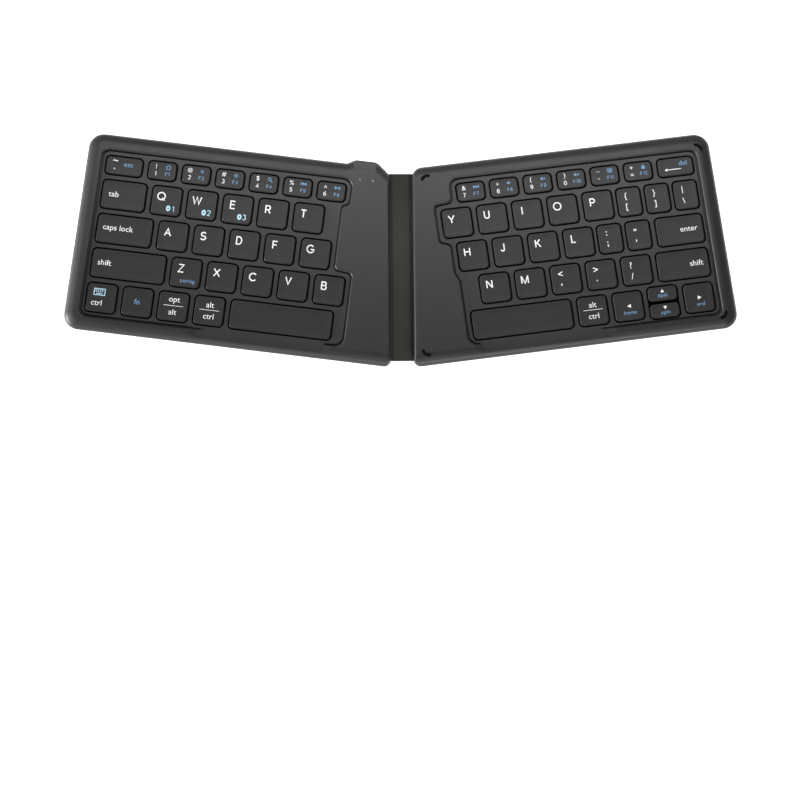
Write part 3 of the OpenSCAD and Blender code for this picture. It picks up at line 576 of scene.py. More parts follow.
def well_groove(side):
    """Cutter of the groove at the foot of the well's wall, absent where the thumb recess is."""
    ends = [THUMB_START - 1.6, THUMB_START - 0.8, THUMB_END - 9, THUMB_END - 1]
    rings = []

    def add(inset, z):
        wide = 1 if inset > 0.5 else 0
        outline = well_outline(side, -inset * GROOVE_W, wide * GROOVE_FRONT, wide * GROOVE_FAR)
        ring = []
        for p, q in zip(outline, outline[1:] + outline[:1]):
            ring.append(place(side, p.x, p.y, z))
            if abs(p.y - q.y) < 0.01 and (q - p).length > 50 and p.y < 0:
                ring += [place(side, u, p.y, z + (2 if ends[0] < u < ends[3] else 0)) for u in ends]
        rings.append(ring)

    add(0.3, WEB_TOP - GROOVE_DEEP)
    add(0.3, WEB_TOP + 0.12)
    add(1 + 0.7 / GROOVE_W, WEB_TOP + 0.12)
    for z, grow in reversed(fillet(WEB_TOP, 0.4)):
        add(1 + grow / GROOVE_W, z)
    add(1, WEB_TOP - GROOVE_DEEP)
    return skin(rings, closed=True)


def port_cut(z0, z1):
    """Cutter of the charging port's opening."""
    return slab(LEFT, box_outline(SOCKET_U, REAR_EDGE + 0.5, SOCKET_W + 2 * LAY_GAP, 11, 0.5), z0, z1)


def shell(side, edge, per_span):
    """Solid of a half's outline with that rounded edge."""
    return loft(side, [(half_outline(side, e.y, e.z), e.x) for e in smooth_profile(edge, per_span)])


def bottom_cover(side):
    name = SIDE_NAME[side]
    obj = new_object(name + "_cover_shell", shell(side, COVER_EDGE, 2), [COVER])
    cuts = [slab(side, half_outline(side, COVER_WALL, -4), COVER_FLOOR, 4),
            along_spine_box(side, -1, FLANGE_X + 0.4, -BAND_FRONT - LAY_GAP, BAND_REAR + LAY_GAP, BAND_Z, 3)]
    if side == LEFT:
        cuts.append(port_cut(BOARD_TOP, 4))
    subtract(obj, cuts)
    dress(smooth(obj), name + "_half", "cover", name + "_bottom_cover")


def thumb_cut(side):
    """Recess in the front ridge whose ends rise in a soft S."""
    rise, front, rear = DECK_TOP - WEB_TOP + 0.2, -FRONT_EDGE - 3, WELL_FRONT + 2.0
    along = [k / 12 for k in range(13)]
    stations = [(THUMB_START - THUMB_RAMP * (1 - t), rise * (1 - t * t * (3 - 2 * t))) for t in along]
    stations += [(THUMB_START + THUMB_END - u, lift) for u, lift in reversed(stations)]
    rings = []
    for u, lift in stations:
        z = WEB_TOP + 0.004 + lift
        section = [(rear, z), (rear, 7), (front, 7), (front, z)]
        rings.append([place(side, u, v, height) for v, height in section])
    return skin(rings)


def flared(side, outline, z_floor, z_lip, lip):
    """Cutter whose wall flares at the top into a rounded lip; outline(grow) gives its plan."""
    rings = [(outline(0), z_floor)]
    rings += [(outline(grow), z) for z, grow in fillet(z_lip, lip)]
    rings.append((outline(lip), z_lip + 1))
    return loft(side, rings)


# (u, v, direction) of the middle of each bumper's arc
BUMPERS = [(HALF_LEN - 5.2, REAR_EDGE - 6.9, 42), (HALF_LEN - 6.2, -FRONT_EDGE + 5.2, -45),
           (spine_u(WALL_X + 5.7, -FRONT_EDGE), -FRONT_EDGE + 4.7, -130),
           (spine_u(WALL_X + 4.9, REAR_EDGE), REAR_EDGE - 5.5, 116)]


def bumper_plan(middle, grow):
    """Outline of one bumper: an arc with round ends."""
    facing = math.radians(middle[2])
    u, v = middle[0] - BUMPER_R * math.cos(facing), middle[1] - BUMPER_R * math.sin(facing)
    half = math.radians(BUMPER_SPAN / 2) - BUMPER_W / 2 / BUMPER_R
    w = BUMPER_W / 2 + grow
    out = []
    for a0, a1, r, turn in ((facing - half, facing + half, BUMPER_R + w, 0.0),
                            (facing + half, facing - half, BUMPER_R - w, math.pi)):
        cu, cv = u + BUMPER_R * math.cos(a1), v + BUMPER_R * math.sin(a1)
        out += sweep(u, v, r, r, a0, a1, 10)
        out += sweep(cu, cv, w, w, a1 + turn, a1 + turn + math.pi, 6)[1:-1]
    return out


def deck(side):
    def key_hole(c):
        def plan(grow):
            gap = CAP_CLEAR + grow
            return box_outline(c[0], c[1], c[2] + 2 * gap, c[3] + 2 * gap, CAP_R + CAP_CLEAR + grow)
        return flared(side, plan, WEB_UNDER - 1, WEB_TOP, 0.1)

    def bumper_pocket(middle):
        return flared(side, lambda grow: bumper_plan(middle, BUMPER_FIT + grow), DECK_TOP - BUMPER_POCKET,
                      DECK_TOP, 0.1)

    name = SIDE_NAME[side]
    obj = new_object(name + "_deck_top", shell(side, DECK_EDGE, 3), [DECK])
    bay_rear, bay_far = WELL_REAR - 1.2, 30.0
    bay = [(spine_u(BAY_X, WELL_FRONT), WELL_FRONT), (bay_far, WELL_FRONT), (bay_far, bay_rear),
           (spine_u(BAY_X, bay_rear), bay_rear)]
    cuts = [
        flared(side, lambda grow: well_outline(side, grow), WEB_TOP, DECK_TOP, 0.8),
        thumb_cut(side),
        well_groove(side),
        slab(side, well_outline(side), 0, WEB_UNDER),
        slab(side, bay, 0, WEB_UNDER - 0.003),
        joined([key_hole(c) for c in holes(side)]),
    ]
    if side == LEFT:
        cuts += [port_cut(0, BOARD_TOP + SOCKET_H + LAY_GAP),
                 joined([slab(side, box_outline(u, WELL_REAR, LIGHT_HOLE, LIGHT_HOLE, 0.54, 6), 0, 7)
                         for u in LIGHT_U])]
    else:
        cuts.append(joined([bumper_pocket(middle) for middle in BUMPERS]))
    subtract(obj, cuts)
    dress(smooth(obj), name + "_half", "deck", name + "_deck")


def port_housing():
    """Rounded hood over the charging socket that runs out from the ridge."""
    def plan(inset):
        w, half_d = SOCKET_W + 2 * HOOD_WALL - 2 * inset, HOOD_REACH + BUMP_OUT - HOOD_BACK - inset
        return box_outline(SOCKET_U, REAR_EDGE - HOOD_REACH, w, 2 * half_d, HOOD_R - inset * 0.8)

    rings = [(plan(inset), z) for z, inset in [(COVER_H + 0.3, 0.0)] + fillet(DECK_TOP - HOOD_LOW, 0.8, 6)]
    obj = new_object("port_housing", loft(LEFT, rings), [DECK])
    subtract(obj, [port_cut(0, BOARD_TOP + SOCKET_H + LAY_GAP)])
    dress(smooth(obj), "left_half", "deck")


def spine_wall(side):
    """Wall of the deck that stands on the band's flange."""
    name = SIDE_NAME[side]
    wall = along_spine_box(side, WALL_X + 0.08, BAY_X, -BAND_FRONT + 0.6, BAND_REAR - 1.6, AXIS_Z + 0.05,
                           COVER_H + 0.4)
    obj = new_object(name + "_spine_wall", wall, [DECK])
    bevel = obj.modifiers.new("edge", "BEVEL")
    bevel.width, bevel.segments = 0.12 * MM, 2
    dress(obj, name + "_half", "deck")


for side in (LEFT, RIGHT):
    bottom_cover(side)
    deck(side)
    spine_wall(side)
port_housing()

# ---- rubber bumpers ----

bumper_parts = []
for middle in BUMPERS:
    rings = [(bumper_plan(middle, 0.0), DECK_TOP - BUMPER_SUNK), (bumper_plan(middle, 0.0), DECK_TOP - 0.05)]
    rings += [(bumper_plan(middle, -g), z) for z, g in fillet(DECK_TOP + BUMPER_PROUD, 0.3)]
    bumper_parts.append(loft(RIGHT, rings))
dress(smooth(new_object("corner_bumper_arcs", joined(bumper_parts), [BUMPER]), 50), "right_half", "bumper",
      "corner_bumpers")

# ---- spine band and ribbon ----


def strip(name, side, span_y, span_z, material, creased=False):
    """Flat strip from the spine's middle to the flange's end, cut finely across the crease."""
    (y0, y1), (z0, z1) = span_y, span_z
    fine = [CREASE_X - 1.0 + 2.0 * k / 16 for k in range(17)]
    edge = min(0.12, (z1 - z0) / 3)
    rings = []
    for x in [0.0, 1.2, 2.4] + fine + [6.5, 8.5, FLANGE_X]:
        top = z1 - (CREASE_DEEP * max(0.0, 1 - abs(x - CREASE_X) / 0.5) if creased else 0.0)
        section = [(y0 + edge, z0), (y1 - edge, z0), (y1, z0 + edge), (y1, top - edge),
                   (y1 - edge, top), (y0 + edge, top), (y0, top - edge), (y0, z0 + edge)]
        rings.append([beside_spine(side, x, y, z) for y, z in section])
    return smooth(new_object(name, skin(rings), [material]), 50, weighted=False)


for side, name in SIDE_NAME.items():
    band = strip(name + "_band", side, (-BAND_FRONT, BAND_REAR), (BAND_Z, BAND_Z + BAND_T), BAND, True)
    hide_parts("spine_band", name + "_band_flange")
    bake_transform(band)
    ribbon_z = BAND_Z + (BAND_T - RIBBON_T) / 2
    ribbon = strip(name + "_ribbon", side, RIBBON_Y, (ribbon_z, ribbon_z + RIBBON_T), RIBBON)
    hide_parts("spine_ribbon")
    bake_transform(ribbon)

# ---- keycaps with their legends ----

# (inset from the keycap's edge, height below its rim) of the hollow top
PAN = [(0.39, 0.02), (0.8, 0.035), (1.3, 0.06), (1.9, 0.09), (2.6, 0.115), (3.4, 0.13), (4.4, 0.135)]


def pan(c):
    """The part of the pan that fits on keycap c."""
    return [step for step in PAN if step[0] < c[3] / 2 - 0.8]


def pan_z(c, u, v):
    """Height of a keycap's top face at a point."""
    inset = min(c[2] / 2 - abs(u - c[0]), c[3] / 2 - abs(v - c[1]))
    steps = pan(c)
    for (i0, d0), (i1, d1) in zip(steps, steps[1:]):
        if inset < i1:
            return CAP_TOP - d0 - (d1 - d0) * max(0.0, (inset - i0) / (i1 - i0))
    return CAP_TOP - steps[-1][1]


def add_cap(bm, side, c):
    """Hollow keycap: thin skirt, rounded rim and a shallow pan on top."""
    def ring(inset, z):
        corner = max(CAP_R - inset * 0.7, 0.3)
        outline = box_outline(c[0], c[1], c[2] - 2 * inset, c[3] - 2 * inset, corner, 6)
        return [place(side, p[0], p[1], z) for p in outline]

    rings = [ring(CAP_WALL, CEILING), ring(CAP_WALL, CAP_UNDER), ring(0.06, CAP_UNDER),
             ring(0.0, CAP_UNDER + 0.12)]
    rings += [ring(0.05 + g, z - 0.02) for z, g in fillet(CAP_TOP, 0.34, 5)]
    rings += [ring(inset, CAP_TOP - depth) for inset, depth in pan(c)[1:]]
    add_rings(bm, rings)


def text_mesh(text, size, weight):
    """Flat text of that cap height in millimetres, as points and faces about the font's own origin."""
    curve = bpy.data.curves.new("lettering", "FONT")
    curve.body, curve.size = text, 1.0
    curve.offset = weight
    curve.extrude = 0.004
    curve.resolution_u = 3
    obj = add_object("lettering", curve)
    dg = bpy.context.evaluated_depsgraph_get()
    mesh = bpy.data.meshes.new_from_object(obj.evaluated_get(dg))
    bpy.data.objects.remove(obj)
    bpy.data.curves.remove(curve)
    points = [(v.co.x * size, v.co.y * size, v.co.z > 0) for v in mesh.vertices]
    faces = [tuple(p.vertices) for p in mesh.polygons]
    bpy.data.meshes.remove(mesh)
    return points, faces


def arc(cx, cy, rx, ry, a0=0, a1=360):
    """Points of a stroke that follows an ellipse from angle a0 to a1, in degrees."""
    return sweep(cx, cy, rx, ry, math.radians(a0), math.radians(a1), max(3, int(abs(a1 - a0) / 20)))


# Centre lines of the strokes of each capital and digit, for a height of 1
STEM = [(0, 0), (0, 1)]
BOWL = [(0, 0), (0, 1), (0.34, 1)] + arc(0.34, 0.73, 0.25, 0.27, 90, -90) + [(0, 0.46)]
STROKES = {
    "A": [[(0, 0), (0.39, 1), (0.78, 0)], [(0.15, 0.34), (0.63, 0.34)]],
    "B": [[(0, 0), (0, 1), (0.34, 1)] + arc(0.34, 0.765, 0.22, 0.235, 90, -90) + [(0, 0.53)],
          [(0.34, 0.53)] + arc(0.36, 0.265, 0.25, 0.265, 90, -90) + [(0, 0)]],
    "C": [arc(0.47, 0.5, 0.47, 0.5, 42, 318)],
    "D": [[(0, 0), (0, 1), (0.28, 1)] + arc(0.28, 0.5, 0.38, 0.5, 90, -90) + [(0, 0)]],
    "E": [[(0.57, 1), (0, 1), (0, 0), (0.59, 0)], [(0, 0.53), (0.53, 0.53)]],
    "F": [[(0.56, 1), (0, 1), (0, 0)], [(0, 0.51), (0.49, 0.51)]],
    "G": [arc(0.47, 0.5, 0.47, 0.5, 45, 330), [(0.88, 0.08), (0.88, 0.45), (0.5, 0.45)]],
    "H": [STEM, [(0.69, 0), (0.69, 1)], [(0, 0.53), (0.69, 0.53)]],
    "I": [STEM],
    "J": [[(0.42, 1)] + arc(0.21, 0.25, 0.21, 0.25, 0, -175)],
    "K": [STEM, [(0.6, 1), (0, 0.38)], [(0.22, 0.6), (0.64, 0)]],
    "L": [[(0, 1), (0, 0), (0.52, 0)]],
    "M": [STEM, [(0, 1), (0.43, 0), (0.86, 1)], [(0.86, 1), (0.86, 0)]],
    "N": [STEM, [(0, 1), (0.7, 0)], [(0.7, 0), (0.7, 1)]],
    "O": [arc(0.49, 0.5, 0.49, 0.5)],
    "P": [BOWL],
    "Q": [arc(0.49, 0.5, 0.49, 0.5), [(0.58, 0.26), (0.95, -0.04)]],
    "R": [BOWL, [(0.34, 0.46), (0.63, 0)]],
    "S": [arc(0.33, 0.745, 0.28, 0.255, 20, 250) + arc(0.33, 0.255, 0.32, 0.255, 70, -160)],
    "T": [[(0, 1), (0.66, 1)], [(0.33, 1), (0.33, 0)]],
    "U": [[(0, 1)] + arc(0.31, 0.32, 0.31, 0.32, 180, 360) + [(0.62, 1)]],
    "V": [[(0, 1), (0.36, 0), (0.72, 1)]],
    "W": [[(0, 1), (0.28, 0), (0.56, 1), (0.84, 0), (1.12, 1)]],
    "X": [[(0, 0), (0.76, 1)], [(0, 1), (0.76, 0)]],
    "Y": [[(0, 1), (0.38, 0.42), (0.76, 1)], [(0.38, 0.42), (0.38, 0)]],
    "Z": [[(0.02, 1), (0.66, 1), (0, 0), (0.68, 0)]],
    "0": [arc(0.3, 0.5, 0.3, 0.5)],
    "1": [[(0, 0.78), (0.24, 1), (0.24, 0)]],
    "2": [arc(0.29, 0.71, 0.28, 0.29, 165, -35) + [(0, 0), (0.58, 0)]],
    "3": [arc(0.27, 0.765, 0.24, 0.235, 150, -90), arc(0.27, 0.265, 0.28, 0.265, 90, -155)],
    "4": [[(0.45, 0), (0.45, 1), (0, 0.28), (0.62, 0.28)]],
    "5": [[(0.52, 1), (0.1, 1), (0.04, 0.52)] + arc(0.27, 0.32, 0.28, 0.31, 130, -150)],
    "6": [arc(0.29, 0.31, 0.29, 0.31), arc(0.42, 0.35, 0.42, 0.65, 82, 175)],
    "7": [[(0, 1), (0.56, 1), (0.18, 0)]],
    "8": [arc(0.28, 0.77, 0.23, 0.23), arc(0.28, 0.27, 0.28, 0.27)],
    "9": [arc(0.29, 0.69, 0.29, 0.31), arc(0.16, 0.65, 0.42, 0.65, -98, -5)],
}
LETTER_SPACE = 0.3


def ribbon_shape(points, width):
    """Points and faces of a thin plate of that width along a centre line."""
    pts = [Vector(p) for p in points]
    closed = (pts[0] - pts[-1]).length < 1e-6
    if closed:
        pts.pop()
    n = len(pts)
    sides = []
    for i, p in enumerate(pts):
        before = pts[i - 1] if closed or i else None
        after = pts[(i + 1) % n] if closed or i < n - 1 else None
        d0 = (p - before).normalized() if before else (after - p).normalized()
        d1 = (after - p).normalized() if after else d0
        mid = (d0 + d1).normalized()
        reach = width / 2 / max(0.62, mid.dot(d0))
        sides.append((p + Vector((-mid.y, mid.x)) * reach, p - Vector((-mid.y, mid.x)) * reach))
    verts = [(q.x, q.y, upper) for pair in sides for q in pair for upper in (False, True)]
    faces = []
    for i in range(n if closed else n - 1):
        a, b = 4 * i, 4 * ((i + 1) % n)
        faces += [(a + 1, b + 1, b + 3, a + 3), (a, a + 2, b + 2, b), (a, b, b + 1, a + 1),
                  (a + 2, a + 3, b + 3, b + 2)]
    if not closed:
        e = 4 * (n - 1)
        faces += [(0, 1, 3, 2), (e, e + 2, e + 3, e + 1)]
    return verts, faces


def stroke_shapes(text, height, weight):
    """Plates of a text drawn with the stroke alphabet."""
    shapes, x = [], 0.0
    line = height - weight
    for letter in text:
        strokes = STROKES[letter]
        for stroke in strokes:
            shapes.append(ribbon_shape([(x + px * line, py * line) for px, py in stroke], weight))
        x += max(px for stroke in strokes for px, _ in stroke) * line + LETTER_SPACE * height
    return shapes


def outline_shape(points):
    """Points and faces of a thin plate with that outline."""
    n = len(points)
    both = [(x, y, False) for x, y in points] + [(x, y, True) for x, y in points]
    faces = [tuple(range(n - 1, -1, -1)), tuple(range(n, 2 * n))]
    faces += [(i, (i + 1) % n, n + (i + 1) % n, n + i) for i in range(n)]
    return both, faces


def ring_shape(r_out, r_in, x=0.0, y=0.0, sides=14, a0=0.0, a1=2 * math.pi):
    """Ring or arc as a strip of thin plates."""
    inner, outer = [sweep(x, y, r, r, a0, a1, sides) for r in (r_in, r_out)]
    return [[inner[k], outer[k], outer[k + 1], inner[k + 1]] for k in range(sides)]


def bar(x0, y0, x1, y1, w):
    """Straight stroke of width w."""
    d = Vector((x1 - x0, y1 - y0)).normalized() * w / 2
    return [(x0 + d.y, y0 - d.x), (x1 + d.y, y1 - d.x), (x1 - d.y, y1 + d.x), (x0 - d.y, y0 + d.x)]


def both_sides(x0, y0, x1, y1, w):
    """A stroke and its mirror image in the upright axis."""
    return [bar(x0, y0, x1, y1, w), bar(-x0, y0, -x1, y1, w)]


def turned(shapes):
    return [[(-x, -y) for x, y in shape] for shape in shapes]


def sun(r, ray):
    rays = [bar(r * 1.5 * math.cos(t), r * 1.5 * math.sin(t), ray * math.cos(t), ray * math.sin(t), 0.16)
            for t in [math.pi / 4 * k for k in range(8)]]
    return ring_shape(r, r * 0.45) + rays


def speaker(waves):
    out = [[(-0.9, -0.3), (-0.5, -0.3), (0.0, -0.75), (0.0, 0.75), (-0.5, 0.3), (-0.9, 0.3)]]
    for k in range(waves):
        out += ring_shape(0.55 + 0.35 * k, 0.4 + 0.35 * k, 0.0, 0, 5, -0.8, 0.8)
    return out


# Function-row pictures as lists of outlines in millimetres about their middle
LEFT_ARROW, UP_ARROW = [[(-0.8, 0), (0.75, -0.85), (0.75, 0.85)]], [[(0, 0.85), (-0.85, -0.7), (0.85, -0.7)]]
SKIP_BACK = [box_shape(-1.3, -0.6, -1.08, 0.6), [(-1.0, 0), (-0.05, -0.62), (-0.05, 0.62)],
             [(0.0, 0), (0.95, -0.62), (0.95, 0.62)]]
ICONS = {
    "house": both_sides(-1, -0.1, 0, 0.85, 0.24) + both_sides(-0.65, 0, -0.65, -0.85, 0.2)
             + [bar(-0.75, -0.85, 0.75, -0.85, 0.22)],
    "dim": sun(0.36, 0.78),
    "bright": sun(0.5, 1.05),
    "find": ring_shape(0.68, 0.46, -0.2, 0.2) + [bar(0.28, -0.28, 0.95, -0.95, 0.28)],
    "back": SKIP_BACK,
    "play": [[(-1.1, -0.65), (0.0, 0), (-1.1, 0.65)]]
            + [box_shape(x, -0.6, x + 0.25, 0.6) for x in (0.25, 0.75)],
    "next": turned(SKIP_BACK),
    "quieter": speaker(1),
    "louder": speaker(2),
    "mute": speaker(0) + [bar(0.35, -0.4, 1.1, 0.4, 0.2), bar(0.35, 0.4, 1.1, -0.4, 0.2)],
    "screen": both_sides(-0.95, -0.5, -0.95, 0.8, 0.2) + [box_shape(-0.5, -0.1, 0.5, 0.4)]
              + [bar(-x, y, x, y, 0.2) for x, y in ((1, 0.75), (1, -0.45), (0.5, -0.85))],
    "lock": [box_shape(-0.65, -0.9, 0.65, 0.15)] + ring_shape(0.5, 0.3, 0, 0.25, 8, 0, math.pi),
    "keys": both_sides(-1.6, -1, -1.6, 1, 0.24) + [bar(-1.7, y, 1.7, y, 0.24) for y in (0.95, -0.95)]
            + [box_shape(x, y, x + 0.32, y + 0.3) for x in (-1.2, -0.58, 0.04, 0.66) for y in (0.0, 0.42)]
            + [box_shape(-0.9, -0.62, 0.9, -0.36)],
    "left": LEFT_ARROW,
    "right": turned(LEFT_ARROW),
    "up": UP_ARROW,
    "down": turned(UP_ARROW),
    "erase": [bar(-2.9, 0, 3.0, 0, 0.3), [(-3.4, 0), (-2.3, -0.62), (-2.3, 0.62)]],
    "line": [bar(-4.5, 0, 4.5, 0, 0.2)],
    "dot": [[(x * 0.75, y) for x, y in piece] for piece in ring_shape(1.4, 0.45)],
}

WHITE, BLUE, PALE = 1, 2, 3


def add_legend(bm, side, c, what, a, b, size=1.0, ink_index=WHITE, align=0, weight=0.0):
    """Draws text, or the picture named after the word icon, on keycap c.

    a and b are its middle, to the right of and above the keycap's middle; align -1 and 1 take
    a as the left and right end. Capitals and digits use the stroke alphabet, where size is the
    height; other text uses the built-in font.
    """
    if what.startswith("icon "):
        shapes = [outline_shape([(x * size, y * size) for x, y in o]) for o in ICONS[what[5:]]]
        mid_x = mid_y = 0.0
    else:
        if all(letter in STROKES for letter in what):
            shapes = stroke_shapes(what, size, weight or STROKE * size)
        else:
            shapes = [text_mesh(what, size, weight)]
        xs = [p[0] for points, _ in shapes for p in points]
        ys = [p[1] for points, _ in shapes for p in points]
        mid_x = (min(xs), (min(xs) + max(xs)) / 2, max(xs))[align + 1]
        mid_y = (min(ys) + max(ys)) / 2
    for points, faces in shapes:
        verts = []
        for x, y, upper in points:
            u, v = c[0] + side * (a + x - mid_x), c[1] + b + y - mid_y
            verts.append(bm.verts.new(place(side, u, v, pan_z(c, u, v) + (0.02 if upper else -0.03))))
        for f in faces:
            bm.faces.new([verts[i] for i in f]).material_index = ink_index


STROKE = 0.135
LETTER_H, DIGIT_H, FUNCTION_H, SIGN_SIZE, WORD_SIZE, SMALL_SIZE = 4.05, 2.1, 1.75, 3.1, 3.75, 2.6


def pair_legend(upper, lower, a=-1.4, size=3.8, weight=0.004):
    return [(upper, a, 2.6, size, WHITE, 0, weight), (lower, a, -2.6, size, WHITE, 0, weight)]


def small_signs(upper, lower, a=-1.4):
    return pair_legend(upper, lower, a, 4.4, 0.01)


def number_legend(upper, lower, picture, function):
    return [(upper, -3.0, 1.95, 2.3 if upper == "@" else SIGN_SIZE),
            (lower, -3.0, -1.45, DIGIT_H if lower in STROKES else SIGN_SIZE),
            ("icon " + picture, 2.6, 1.95, 1.2, BLUE), (function, 2.5, -1.3, FUNCTION_H, BLUE)]


def word(text, a, b, align):
    return [(text, a, b, WORD_SIZE, WHITE, align)]


def stacked(upper, lower):
    return [(upper, 0.2, 2.8, WORD_SIZE), ("icon line", 0, 0.35), (lower, 0.0, -2.6, WORD_SIZE)]


# What stands on each key of a node, in the order of its keycaps in KEYS
LEGENDS = {"key_" + letter: [[(letter.upper(), -2.5, 1.9, LETTER_H)]]
           for letter in "qwertyuiopasdfghjklzxcvbnm"}
for letter, number in zip("qwe", "123"):
    LEGENDS["key_" + letter][0] += [("icon dot", 1.3, -3.5, 1.0, PALE), (number, 3.6, -3.45, 2.7, PALE)]
LEGENDS["key_z"][0].append(("pairing", 1.2, -4.0, 2.5, BLUE))
pictures = ["house", "dim", "bright", "find", "back", "play",
            "next", "quieter", "louder", "mute", "screen", "lock"]
number_row = [number_legend(upper, lower, picture, f"F{i + 1}")
              for i, (upper, lower, picture) in enumerate(zip("!@#$%^&*()_+", "1234567890-=", pictures))]
LEGENDS["left_number_keys"] = number_row[5::-1] + [
    [(sign, a, b, 4.0, WHITE, 0, 0.01) for sign, a, b in (("~", -4.2, 2.3), ("`", -4.4, -1.6))]
    + [("esc", 2.0, 0.6, 3.4, BLUE)]]
LEGENDS["right_number_keys"] = number_row[6:] + [
    [("del", 3.6, 1.5, 3.4, BLUE), ("icon erase", -1.2, -1.2, 1.22)]]
LEGENDS["left_side_keys"] = [
    word("tab", -6.9, 0.25, -1), word("caps lock", -9.9, 0.35, -1), word("shift", -14.1, 0.3, -1),
    [("icon keys", -1.2, 2.7, 1.55, PALE), ("ctrl", -2.0, -2.4, WORD_SIZE)],
    [("fn", -0.2, 0.2, WORD_SIZE, BLUE)], stacked("opt", "alt"), stacked("alt", "ctrl")]
LEGENDS["right_symbol_keys"] = [
    pair_legend("{", "["), pair_legend("}", "]"), pair_legend("|", "\\"), small_signs(":", ";"),
    small_signs('"', "'"), small_signs("<", ",", -2.4), small_signs(">", ".", -2.4),
    pair_legend("?", "/", -2.4, 4.2)]
LEGENDS["right_edge_keys"] = [
    word("enter", 8.2, 0.1, 1), word("shift", 9.3, 0.1, 1), stacked("alt", "ctrl")]
LEGENDS["arrow_keys"] = [
    [("icon left", 0.3, 0.0, 1.1), ("home", 0.4, -3.0, SMALL_SIZE, BLUE)],
    [("icon up", 0.0, 1.2), ("pgup", 0.0, -1.2, 2.4, BLUE)],
    [("icon down", 0.2, 1.3), ("pgdn", 0.2, -1.1, 2.4, BLUE)],
    [("icon right", 0.2, 0.0, 1.1), ("end", 0.4, -3.0, SMALL_SIZE, BLUE)]]

for node, (side, caps) in KEYS.items():
    bm = bmesh.new()
    for c in caps:
        add_cap(bm, side, c)
    bmesh.ops.recalc_face_normals(bm, faces=bm.faces)
    for c, items in zip(caps, LEGENDS.get(node, [])):
        for item in items:
            add_legend(bm, side, c, *item)
    caps_object = new_object(node + "_caps", bm, [KEYCAP, WHITE_INK, BLUE_INK, PALE_INK])
    dress(smooth(caps_object, 40), node, "keycap", node)

# ---- rubber domes and lifters under the keys ----


def add_dome(bm, side, c):
    """Hollow rubber dome: foot ring, thin collapsing wall and a stem on top."""
    if c[3] < LIFTER_MIN_D:
        r = min(DOME_R, (c[3] - 2 * CAP_WALL) / 2 - DOME_CLEAR)
    else:
        r = min(DOME_R, (min(c[2], CAP_W) - LIFTER_FRAMES_W) / 2, (c[3] - LIFTER_FRAMES_D) / 2)
    top = CEILING - 0.05
    profile = [(0.12, top - 0.5), (0.4 * r, top - 0.5), (r - 0.65, SHEET_TOP + 0.02), (r, SHEET_TOP + 0.02),
               (r, SHEET_TOP + 0.2), (r - 0.25, SHEET_TOP + 0.36), (0.62 * r, top - 0.45),
               (0.55 * r, top - 0.1), (0.5 * r, top), (0.12, top)]
    rings = []
    for k in range(24):
        t = 2 * math.pi * k / 24
        rings.append([place(side, c[0] + q * math.cos(t), c[1] + q * math.sin(t), z) for q, z in profile])
    add_rings(bm, rings, closed=True)


def add_frame(bm, side, u, v, w, d, tilt):
    """Thin four-bar frame, tilted about its middle like one half of a pair of scissors."""
    mid_z = (CEILING + SHEET_TOP) / 2
    rings = []
    t = LIFTER_T / 2
    for inset, z in ((0, -t), (0, t), (LIFTER_BAR, t), (LIFTER_BAR, -t)):
        outline = box_outline(0, 0, w - 2 * inset, d - 2 * inset, 0.5 if inset else 0.9, 3)
        rings.append([place(side, u + p[0], v + p[1] * math.cos(tilt) - z * math.sin(tilt),
                            mid_z + p[1] * math.sin(tilt) + z * math.cos(tilt)) for p in outline])
    add_rings(bm, rings, closed=True)


def add_lifters(bm, side, c):
    """Two crossed frames under a keycap, or two such pairs far apart under a long one."""
    if c[3] < LIFTER_MIN_D:
        return
    w, d = min(c[2], CAP_W) - LIFTER_IN, c[3] - LIFTER_IN
    room = CEILING - SHEET_TOP - 0.12
    tilt = math.asin((room - LIFTER_T) / d)
    away = (c[2] - 1.2 * CAP_W) / 2 if c[2] > 2 * CAP_W else 0
    for s in ([-away, away] if away else [0]):
        add_frame(bm, side, c[0] + s, c[1], w, d - 0.1, tilt)
        add_frame(bm, side, c[0] + s, c[1], w - 2 * LIFTER_BAR - 0.4, d - 0.1, -tilt)


for node, (side, caps) in KEYS.items():
    for kind, build, material, slot in (("dome", add_dome, DOME, "dome_rubber"),
                                        ("lifter", add_lifters, LIFTER, "lifter")):
        bm = bmesh.new()
        for c in caps:
            build(bm, side, c)
        if not bm.faces:
            bm.free()
            continue
        piece = new_object(f"{node}_{kind}s", bm, [material])
        smooth(piece, 40, weighted=False)
        half = SIDE_NAME[side]
        dress(piece, half + "_half", slot, f"{half}_key_{kind}s")
        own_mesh(piece)

# ---- charging socket ----


def socket_outline(w, h):
    """Flat-topped shell that narrows at the bottom corners, in (across, up)."""
    corners = [(-w / 2 + 0.9, -h / 2), (w / 2 - 0.9, -h / 2), (w / 2, -h / 2 + 1.0), (w / 2, h / 2),
               (-w / 2, h / 2), (-w / 2, -h / 2 + 1.0)]
    return rounded(corners, [0.25, 0.25, 0.3, 0.3, 0.3, 0.3], 3)


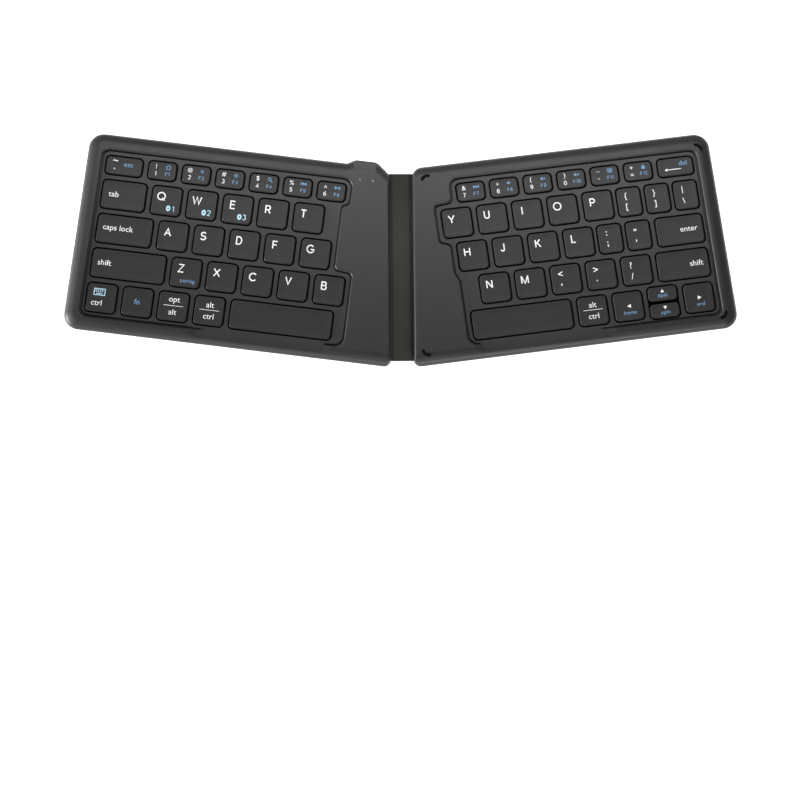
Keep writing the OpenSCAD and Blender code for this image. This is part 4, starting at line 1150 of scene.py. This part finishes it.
def charge_socket():
    """Steel shell with its plastic tongue; the mouth lies just inside the hood."""
    mouth, mid_z = REAR_EDGE + BUMP_OUT - 0.45, BOARD_TOP + SOCKET_H / 2
    rings = []
    inside = mouth - SOCKET_L + 0.5
    for v, shrink in ((inside, 0.3), (mouth, 0.3), (mouth, 0.05), (mouth - 0.25, 0.0),
                      (mouth - SOCKET_L, 0.0)):
        outline = socket_outline(SOCKET_W - 2 * shrink, SOCKET_H - 2 * shrink)
        rings.append([place(LEFT, SOCKET_U + p[0], v, mid_z + p[1]) for p in outline])
    dress(smooth(new_object("charge_socket_shell", skin(rings), [STEEL]), 40), "left_half", "steel",
          "charge_socket")
    plan = box_outline(0, 0, 4.4, 0.55, 0.12, 3)
    rings = [[place(LEFT, SOCKET_U + p[0], v, mid_z + 0.25 + p[1]) for p in plan]
             for v in (inside, mouth - 1.0)]
    dress(smooth(new_object("charge_socket_tongue", skin(rings), [LIFTER]), 40), "left_half", "steel")


charge_socket()

# ---- CAD nodes that stay ----

KEPT = {"main_board": BOARD, "battery": BATTERY, "status_light_pipes": PIPE}
for half in SIDE_NAME.values():
    KEPT.update({half + "_base_plate": PLATE, half + "_switch_sheet": SHEET, half + "_magnets": MAGNET,
                 half + "_ribbon_tail": RIBBON})
for node, material in KEPT.items():
    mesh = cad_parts[node].data
    mesh.materials.clear()
    mesh.materials.append(material)

# ---- floor, light and camera ----

FLOOR_SIZE, FLOOR_BELOW, FLOOR_GLOW, WORLD_GLOW = 2.5, 0.0002, 0.7, 0.2

floor_bm = bmesh.new()
bmesh.ops.create_grid(floor_bm, x_segments=8, y_segments=8, size=FLOOR_SIZE)
floor = new_object("floor", floor_bm)
floor.location.z = -FLOOR_BELOW
paper = Nodes("floor_paper", Specular_IOR_Level=0.1, Emission_Color=(1.0, 1.0, 1.0, 1.0),
              Emission_Strength=FLOOR_GLOW)
paper.surface(paper.ramp(paper.noise(6, 3.0), srgb(250, 250, 250), srgb(255, 255, 255)),
              paper.spread(paper.noise(300, 3.0), 0.7, 0.8))
floor.data.materials.append(paper.material)

world = bpy.data.worlds.new("studio")
bpy.context.scene.world = world
world.use_nodes = True
background = world.node_tree.nodes["Background"]
background.inputs["Color"].default_value = (1.0, 1.0, 1.0, 1)
background.inputs["Strength"].default_value = WORLD_GLOW


def soft_light(name, position, width, depth, power):
    """Soft lamp that faces the middle of the keyboard."""
    light = bpy.data.lights.new(name, "AREA")
    light.shape, light.size, light.size_y, light.energy = "RECTANGLE", width, depth, power
    obj = add_object(name, light)
    obj.location = position
    obj.rotation_euler = (-Vector(position)).to_track_quat("-Z", "Y").to_euler()


soft_light("front_softbox", (0.2, -1.1, 0.5), 0.7, 0.3, 10)
soft_light("left_softbox", (-1.2, -0.2, 0.13), 0.7, 0.3, 40)
soft_light("overhead_softbox", (0.01, 0.125, 0.2), 0.38, 0.06, 0.53)

# The camera was fitted to the key centres of the photograph: its place and its three axes
CAMERA_LENS, CAMERA_SENSOR, CAMERA_AT = 121.36, 36.0, (-43.43, -340.39, 1200.56)
CAMERA_RIGHT = Vector((0.999409, -0.009718, 0.032973))
CAMERA_UP = Vector((0.002259, 0.975700, 0.219098))
CAMERA_FORWARD = Vector((0.034301, 0.218894, -0.975145))

camera = add_object("camera", bpy.data.cameras.new("camera"))
camera.data.lens, camera.data.sensor_width = CAMERA_LENS, CAMERA_SENSOR
camera.data.clip_start, camera.data.clip_end = 0.05, 10
turn = Matrix((CAMERA_RIGHT, CAMERA_UP, -CAMERA_FORWARD)).transposed().to_4x4()
camera.matrix_world = Matrix.Translation(Vector(CAMERA_AT) * MM) @ turn
bpy.context.scene.camera = camera
bpy.context.scene.view_settings.view_transform = "Standard"
